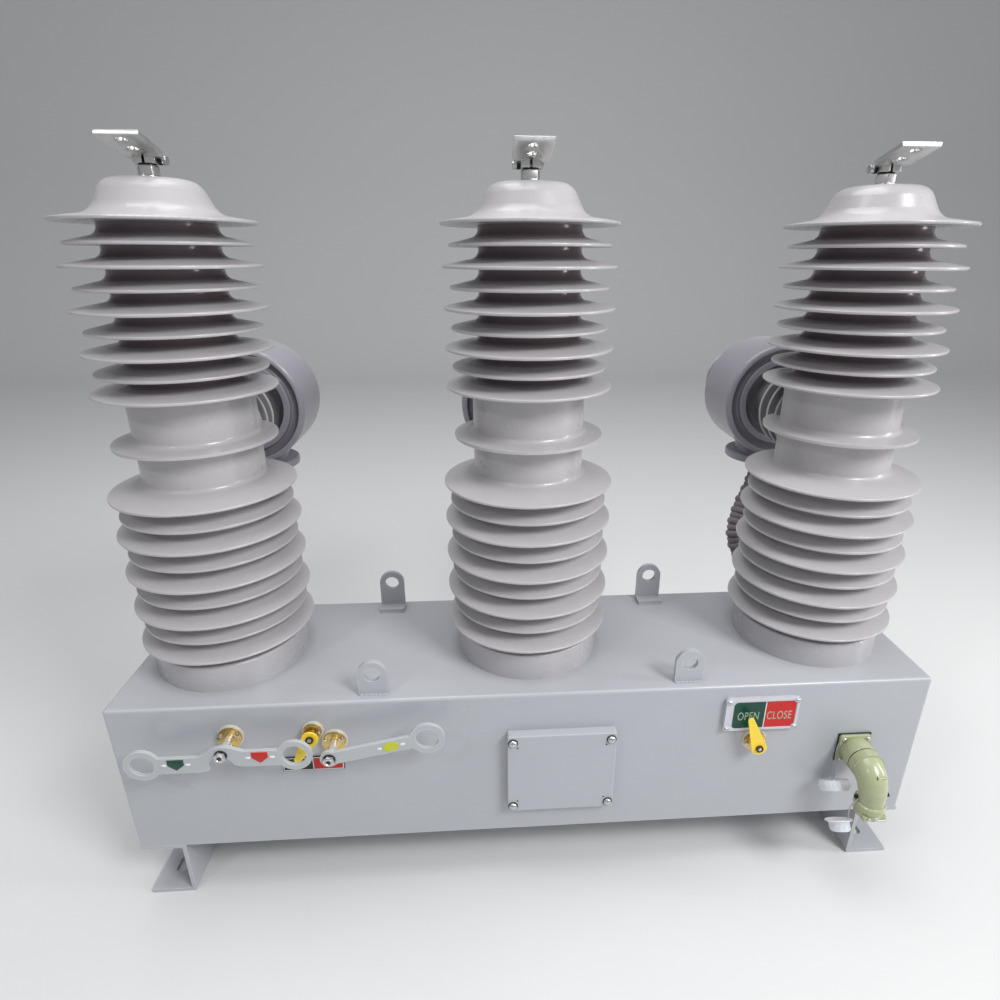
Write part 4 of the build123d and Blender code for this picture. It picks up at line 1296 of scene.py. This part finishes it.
class RECLOSER_OT_top_terminals(bpy.types.Operator):
    """Washer, nut, split clamp and inclined pad on the crown of each pole, with a dark disc painted as the
    shadow under the clamp
    """

    bl_idname = "recloser.top_terminals"
    bl_label = "Top terminals"

    def execute(self, context):
        width, length, thickness, corner = 0.0415, 0.06, 0.005, 0.016
        half = width / 2
        lean = radians(14.5)
        clamp_low, clamp_height = 0.0143, 0.0072
        nut_outline = [(0, 0), (0.0098, 0), (0.0108, 0.0012)]
        nut_outline += [(0.0108, 0.0092), (0.0098, 0.0104), (0, 0.0104)]
        outline = [(half, length), (-half, length)]
        outline += arc_points(-half + corner, corner, corner, 180, 270)
        outline += arc_points(half - corner, corner, corner, 270, 360)
        holes = [(0, length - 0.01, 0.0055), (0, length - 0.03, 0.0055)]
        for name in pole_names:
            low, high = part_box(f"top_terminal_{name}")
            x = middle(f"pole_{name}").x
            near_z = high.z - length * sin(lean) - thickness * cos(lean) - 0.0004
            near = Matrix.Translation((x, pole_y + 0.004, near_z))
            axes = Matrix(((1, 0, 0), (0, -cos(lean), -sin(lean)), (0, sin(lean), -cos(lean)))).to_4x4()
            shape = bmesh.new()
            pad = flat_bar(outline, holes, thickness, 0.0006)
            add_shape(shape, pad, near @ axes @ Matrix.Translation((0, 0, -thickness / 2)))
            washer = disc(0.0125, 0.0025, 48, round_edge=0.0004)
            add_shape(shape, washer, upright(x, pole_y, low.z))
            nut = soften(turned(nut_outline, 6), 0.0004)
            add_shape(shape, nut, upright(x, pole_y, low.z + 0.0024, radians(10)))
            for side in (-1, 1):
                jaw = soften(block(0.0098, 0.018, clamp_height), 0.0009)
                add_shape(shape, jaw, upright(x + side * 0.0061, pole_y, low.z + clamp_low))
            bridge = soften(block(0.022, 0.008, clamp_height), 0.0009)
            add_shape(shape, bridge, upright(x, pole_y + 0.005, low.z + clamp_low))
            terminal = finish_piece(f"inclined_terminal_{name}", shape, "tinned")
            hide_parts(f"top_terminal_{name}")
            # Painted shadow: a dark disc between the nut and the clamp stands for the shadow in the gap under
            # the clamp.
            place = upright(x, pole_y, low.z + 0.0122)
            placed_piece(f"painted_shadow_ring_{name}", disc(0.0086, 0.0026), place, "dark")
        return {"FINISHED"}


class RECLOSER_OT_terminal_hardware(bpy.types.Operator):
    """Cross bolts of the terminal clamps"""

    bl_idname = "recloser.terminal_hardware"
    bl_label = "Terminal hardware"

    def execute(self, context):
        across, half_clamp = 0.0088, 0.0108
        for name, side in zip(pole_names, (1, -1, -1)):
            seat = Vector((middle(f"pole_{name}").x, pole_y + 0.0028, dome_top + 0.0178))
            out = Vector((side, 0, 0))
            washers, place = disc(0.0044, 0.0042, 24), along(seat + out * half_clamp, out)
            placed_piece(f"clamp_bolt_washers_{name}", washers, place, "dark")
            shape = bmesh.new()
            nut, head = hexagon(across, 0.0048, 0.0005), hexagon(across, 0.0028, 0.0005)
            add_shape(shape, nut, along(seat + out * (half_clamp + 0.004), out, 0.3))
            add_shape(shape, head, along(seat - out * half_clamp, -out, 0.1))
            stud = disc(0.0025, 0.0018, 16, round_edge=0.0004)
            add_shape(shape, stud, along(seat - out * 0.0135, -out))
            finish_piece(f"top_terminal_bolts_{name}", shape, "zinc")
        return {"FINISHED"}


# Lead hoses


def centre_line(name, route):
    """Closely set points of a smooth curve along a hose's route."""
    mesh = mesh_of(smooth_line(name, route, resolution=48))
    points = [vertex.co.copy() for vertex in mesh.vertices]
    bpy.data.meshes.remove(mesh)
    return points


def hose_bead(swell, pitch):
    """One bead of a hose, centred on its middle."""
    half = pitch * 0.56
    outline = [(0, -half), (swell * 0.78, -half), (swell * 0.95, -half * 0.6), (swell, 0)]
    outline += [(swell * 0.95, half * 0.6), (swell * 0.78, half), (0, half)]
    return turned(outline, 24)


def string_beads(shape, points, pitch, radius):
    """Set beads along a line, every other one a little smaller."""
    travelled, target, index = 0.0, pitch / 2, 0
    for first, second in zip(points, points[1:]):
        run = (second - first).length
        while run > 0 and travelled + run >= target:
            spot = first.lerp(second, (target - travelled) / run)
            swell = radius if index % 2 == 0 else radius * 0.88
            add_shape(shape, hose_bead(swell, pitch), along(spot, second - first))
            target += pitch
            index += 1
        travelled += run


class RECLOSER_OT_lead_hoses(bpy.types.Operator):
    """Beaded lead hoses behind the poles and the nuts of their glands"""

    bl_idname = "recloser.lead_hoses"
    bl_label = "Lead hoses"

    def execute(self, context):
        for name in pole_names:
            gland = middle(f"conduit_gland_{name}")
            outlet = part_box(f"current_transformer_{name}")[0].z
            start_y = middle(f"current_transformer_{name}").y
            face_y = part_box(f"conduit_gland_{name}")[1].y
            run_y = face_y + 0.040
            x = gland.x
            side = x - 0.042
            route = [
                (x, start_y, outlet),
                (x, start_y, outlet - 0.040),
                (side + 0.012, (start_y + run_y) / 2, outlet - 0.082),
                (side - 0.004, run_y, (outlet + gland.z) / 2 - 0.012),
                (x, run_y, gland.z + 0.040),
                (x, run_y, gland.z),
                (x, face_y, gland.z),
            ]
            shape = bmesh.new()
            line = centre_line(f"hose_line_{name}", route)
            string_beads(shape, line, sizes().hose_bead_pitch, sizes().hose_bead_radius)
            hose = finish_piece(f"lead_hose_{name}", shape, "hose", crease=50.0)
            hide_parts(f"lead_conduit_{name}")
            shape = bmesh.new()
            add_shape(shape, hexagon(0.039, 0.006, 0.0008), along((x, rear_y, gland.z), (0, 1, 0)))
            collar = disc(0.0158, 0.004, inner=0.0125, round_edge=0.0008)
            add_shape(shape, collar, along((x, face_y - 0.0005, gland.z), (0, 1, 0)))
            finish_piece(f"gland_nut_{name}", shape, "hose")
        return {"FINISHED"}


# Welds


def weld_line(shape, start, end, radius):
    """Row of overlapping ripples between two points."""
    run = Vector(end) - Vector(start)
    count = max(2, round(run.length / sizes().weld_pitch))
    for index in range(count + 1):
        ripple = bmesh.new()
        bmesh.ops.create_icosphere(ripple, subdivisions=2, radius=radius * (0.92 + 0.12 * sin(index * 2.4)))
        add_shape(shape, ripple, Matrix.Translation(Vector(start) + run * (index / count)))


class RECLOSER_OT_welds(bpy.types.Operator):
    """Weld beads at the feet of the lifting lugs and along the rails"""

    bl_idname = "recloser.welds"
    bl_label = "Welds"

    def execute(self, context):
        inset, length = 0.002, 0.04
        for row in ("front", "rear"):
            for side in ("left", "right"):
                low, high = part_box(f"lifting_lug_{row}_{side}")
                shape = bmesh.new()
                for y in (high.y, low.y):
                    weld_line(shape, (low.x + inset, y, case_top), (high.x - inset, y, case_top), 0.0022)
                finish_piece(f"lug_weld_{row}_{side}", shape, "weld", crease=80.0)
        for side in ("left", "right"):
            low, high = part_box(f"rail_{side}")
            x = low.x + 0.0005 if side == "right" else high.x - 0.0005
            z = high.z - 0.0018
            shape = bmesh.new()
            for y in (low.y + 0.02, middle(f"rail_{side}").y - 0.02, high.y - 0.06):
                weld_line(shape, (x, y, z), (x, y + length, z), 0.0026)
            finish_piece(f"rail_weld_{side}", shape, "weld", crease=80.0)
        return {"FINISHED"}


# Stage


def soft_lamp(name, place, aim, width, power, height=None):
    """Soft lamp aimed at a point, square where no height is given."""
    lamp = bpy.data.lights.new(name, "AREA")
    lamp.shape = "RECTANGLE"
    lamp.size = width
    lamp.size_y = height or width
    lamp.energy = power
    holder = bpy.data.objects.new(name, lamp)
    holder.location = place
    holder.rotation_euler = (Vector(aim) - Vector(place)).to_track_quat("-Z", "Y").to_euler()
    bpy.context.scene.collection.objects.link(holder)


def studio_sweep(scene):
    """Pale floor that bends up into a backdrop."""
    half_width, half_depth, back_y, wall_height, bend_radius = 20.0, 12.5, 5.0, 6.0, 1.5
    shape = bmesh.new()
    bmesh.ops.create_grid(shape, x_segments=1, y_segments=1, size=1.0)
    bmesh.ops.scale(shape, vec=(half_width, half_depth, 1.0), verts=shape.verts)
    bmesh.ops.translate(shape, vec=(0, back_y - half_depth, 0), verts=shape.verts)
    back = [edge for edge in shape.edges if all(vertex.co.y > 0 for vertex in edge.verts)]
    raised = bmesh.ops.extrude_edge_only(shape, edges=back)
    top = [item for item in raised["geom"] if isinstance(item, bmesh.types.BMVert)]
    bmesh.ops.translate(shape, verts=top, vec=(0, 0, wall_height))
    bend = [edge for edge in shape.edges if len(edge.link_faces) == 2]
    bmesh.ops.bevel(
        shape, geom=bend, offset=bend_radius, segments=16, profile=0.5, affect="EDGES", material=-1
    )
    for face in shape.faces:
        face.smooth = True
    mesh = bpy.data.meshes.new("studio_sweep")
    shape.to_mesh(mesh)
    shape.free()
    mesh.materials.append(materials["floor"])
    sweep = bpy.data.objects.new("studio_sweep", mesh)
    scene.collection.objects.link(sweep)


def studio_light(scene):
    """Even sky and four soft lamps."""
    world = bpy.data.worlds.new("studio")
    world.use_nodes = True
    sky = world.node_tree.nodes["Background"]
    sky.inputs["Color"].default_value = (0.95, 0.97, 1.0, 1.0)
    sky.inputs["Strength"].default_value = 0.4
    scene.world = world
    soft_lamp("key", (1.5, -1.7, 2.3), (0.1, -0.1, 0.4), 0.9, 55.0)
    soft_lamp("top", (-0.4, 0.0, 3.2), (0.0, -0.1, 0.4), 2.0, 48.0)
    soft_lamp("side_strip", (2.3, -0.55, 1.1), (0.0, -0.1, 0.6), 0.3, 15.0, 1.5)
    soft_lamp("small", (-1.3, -1.5, 2.0), (0.0, -0.1, 0.6), 0.16, 5.0)


def studio_camera(scene):
    """Camera with the place, aim and lens fitted to the photograph."""
    camera = bpy.data.cameras.new("camera")
    camera.sensor_fit = "HORIZONTAL"
    camera.sensor_width = 36.0
    camera.lens = 22.453
    camera.shift_x = -0.01906
    camera.shift_y = -0.00538
    yaw, pitch, roll = radians(3.80), radians(20.93), radians(0.18)
    forward = Vector((sin(yaw) * cos(pitch), cos(yaw) * cos(pitch), -sin(pitch)))
    level = Vector((cos(yaw), -sin(yaw), 0.0))
    rise = level.cross(forward)
    across = level * cos(roll) + rise * sin(roll)
    up = rise * cos(roll) - level * sin(roll)
    turn = Matrix((across, up, -forward)).transposed()
    holder = bpy.data.objects.new("camera", camera)
    holder.matrix_world = Matrix.Translation((-0.06135, -0.86661, 0.80911)) @ turn.to_4x4()
    scene.collection.objects.link(holder)
    scene.camera = holder
    scene.view_settings.view_transform = "Standard"


class RECLOSER_OT_stage(bpy.types.Operator):
    """Pale floor and backdrop, soft lamps and the camera"""

    bl_idname = "recloser.stage"
    bl_label = "Stage"

    def execute(self, context):
        studio_sweep(context.scene)
        studio_light(context.scene)
        studio_camera(context.scene)
        return {"FINISHED"}


class RECLOSER_PT_panel(bpy.types.Panel):
    """Sizes, colours and pieces of the recloser"""

    bl_idname = "RECLOSER_PT_panel"
    bl_label = "Recloser"
    bl_space_type = "VIEW_3D"
    bl_region_type = "UI"
    bl_category = "Recloser"

    def draw(self, context):
        for operator in piece_operators:
            self.layout.operator(operator.bl_idname)
        for group in (context.scene.recloser_sizes, context.scene.recloser_colours):
            box = self.layout.box()
            for name in group.__annotations__:
                box.prop(group, name)


piece_operators = (
    RECLOSER_OT_stage,
    RECLOSER_OT_cords,
    RECLOSER_OT_finishes,
    RECLOSER_OT_cover_bolts,
    RECLOSER_OT_bushing_screws,
    RECLOSER_OT_handle_fittings,
    RECLOSER_OT_charge_label,
    RECLOSER_OT_position_indicator,
    RECLOSER_OT_connector_trim,
    RECLOSER_OT_top_terminals,
    RECLOSER_OT_terminal_hardware,
    RECLOSER_OT_lead_hoses,
    RECLOSER_OT_welds,
)
classes = (RecloserSizes, RecloserColours, *piece_operators, RECLOSER_PT_panel)


def register():
    for item in classes:
        bpy.utils.register_class(item)
    bpy.types.Scene.recloser_sizes = PointerProperty(type=RecloserSizes)
    bpy.types.Scene.recloser_colours = PointerProperty(type=RecloserColours)


def unregister():
    del bpy.types.Scene.recloser_colours
    del bpy.types.Scene.recloser_sizes
    for item in reversed(classes):
        bpy.utils.unregister_class(item)


def main():
    register()
    make_finishes(bpy.context.scene.recloser_colours)
    bpy.ops.recloser.stage()
    bpy.ops.recloser.cords()
    bpy.ops.recloser.finishes()
    bpy.ops.recloser.cover_bolts()
    bpy.ops.recloser.bushing_screws()
    bpy.ops.recloser.handle_fittings()
    bpy.ops.recloser.charge_label()
    bpy.ops.recloser.position_indicator()
    bpy.ops.recloser.connector_trim()
    bpy.ops.recloser.top_terminals()
    bpy.ops.recloser.terminal_hardware()
    bpy.ops.recloser.lead_hoses()
    bpy.ops.recloser.welds()


if __name__ == "__main__":
    main()
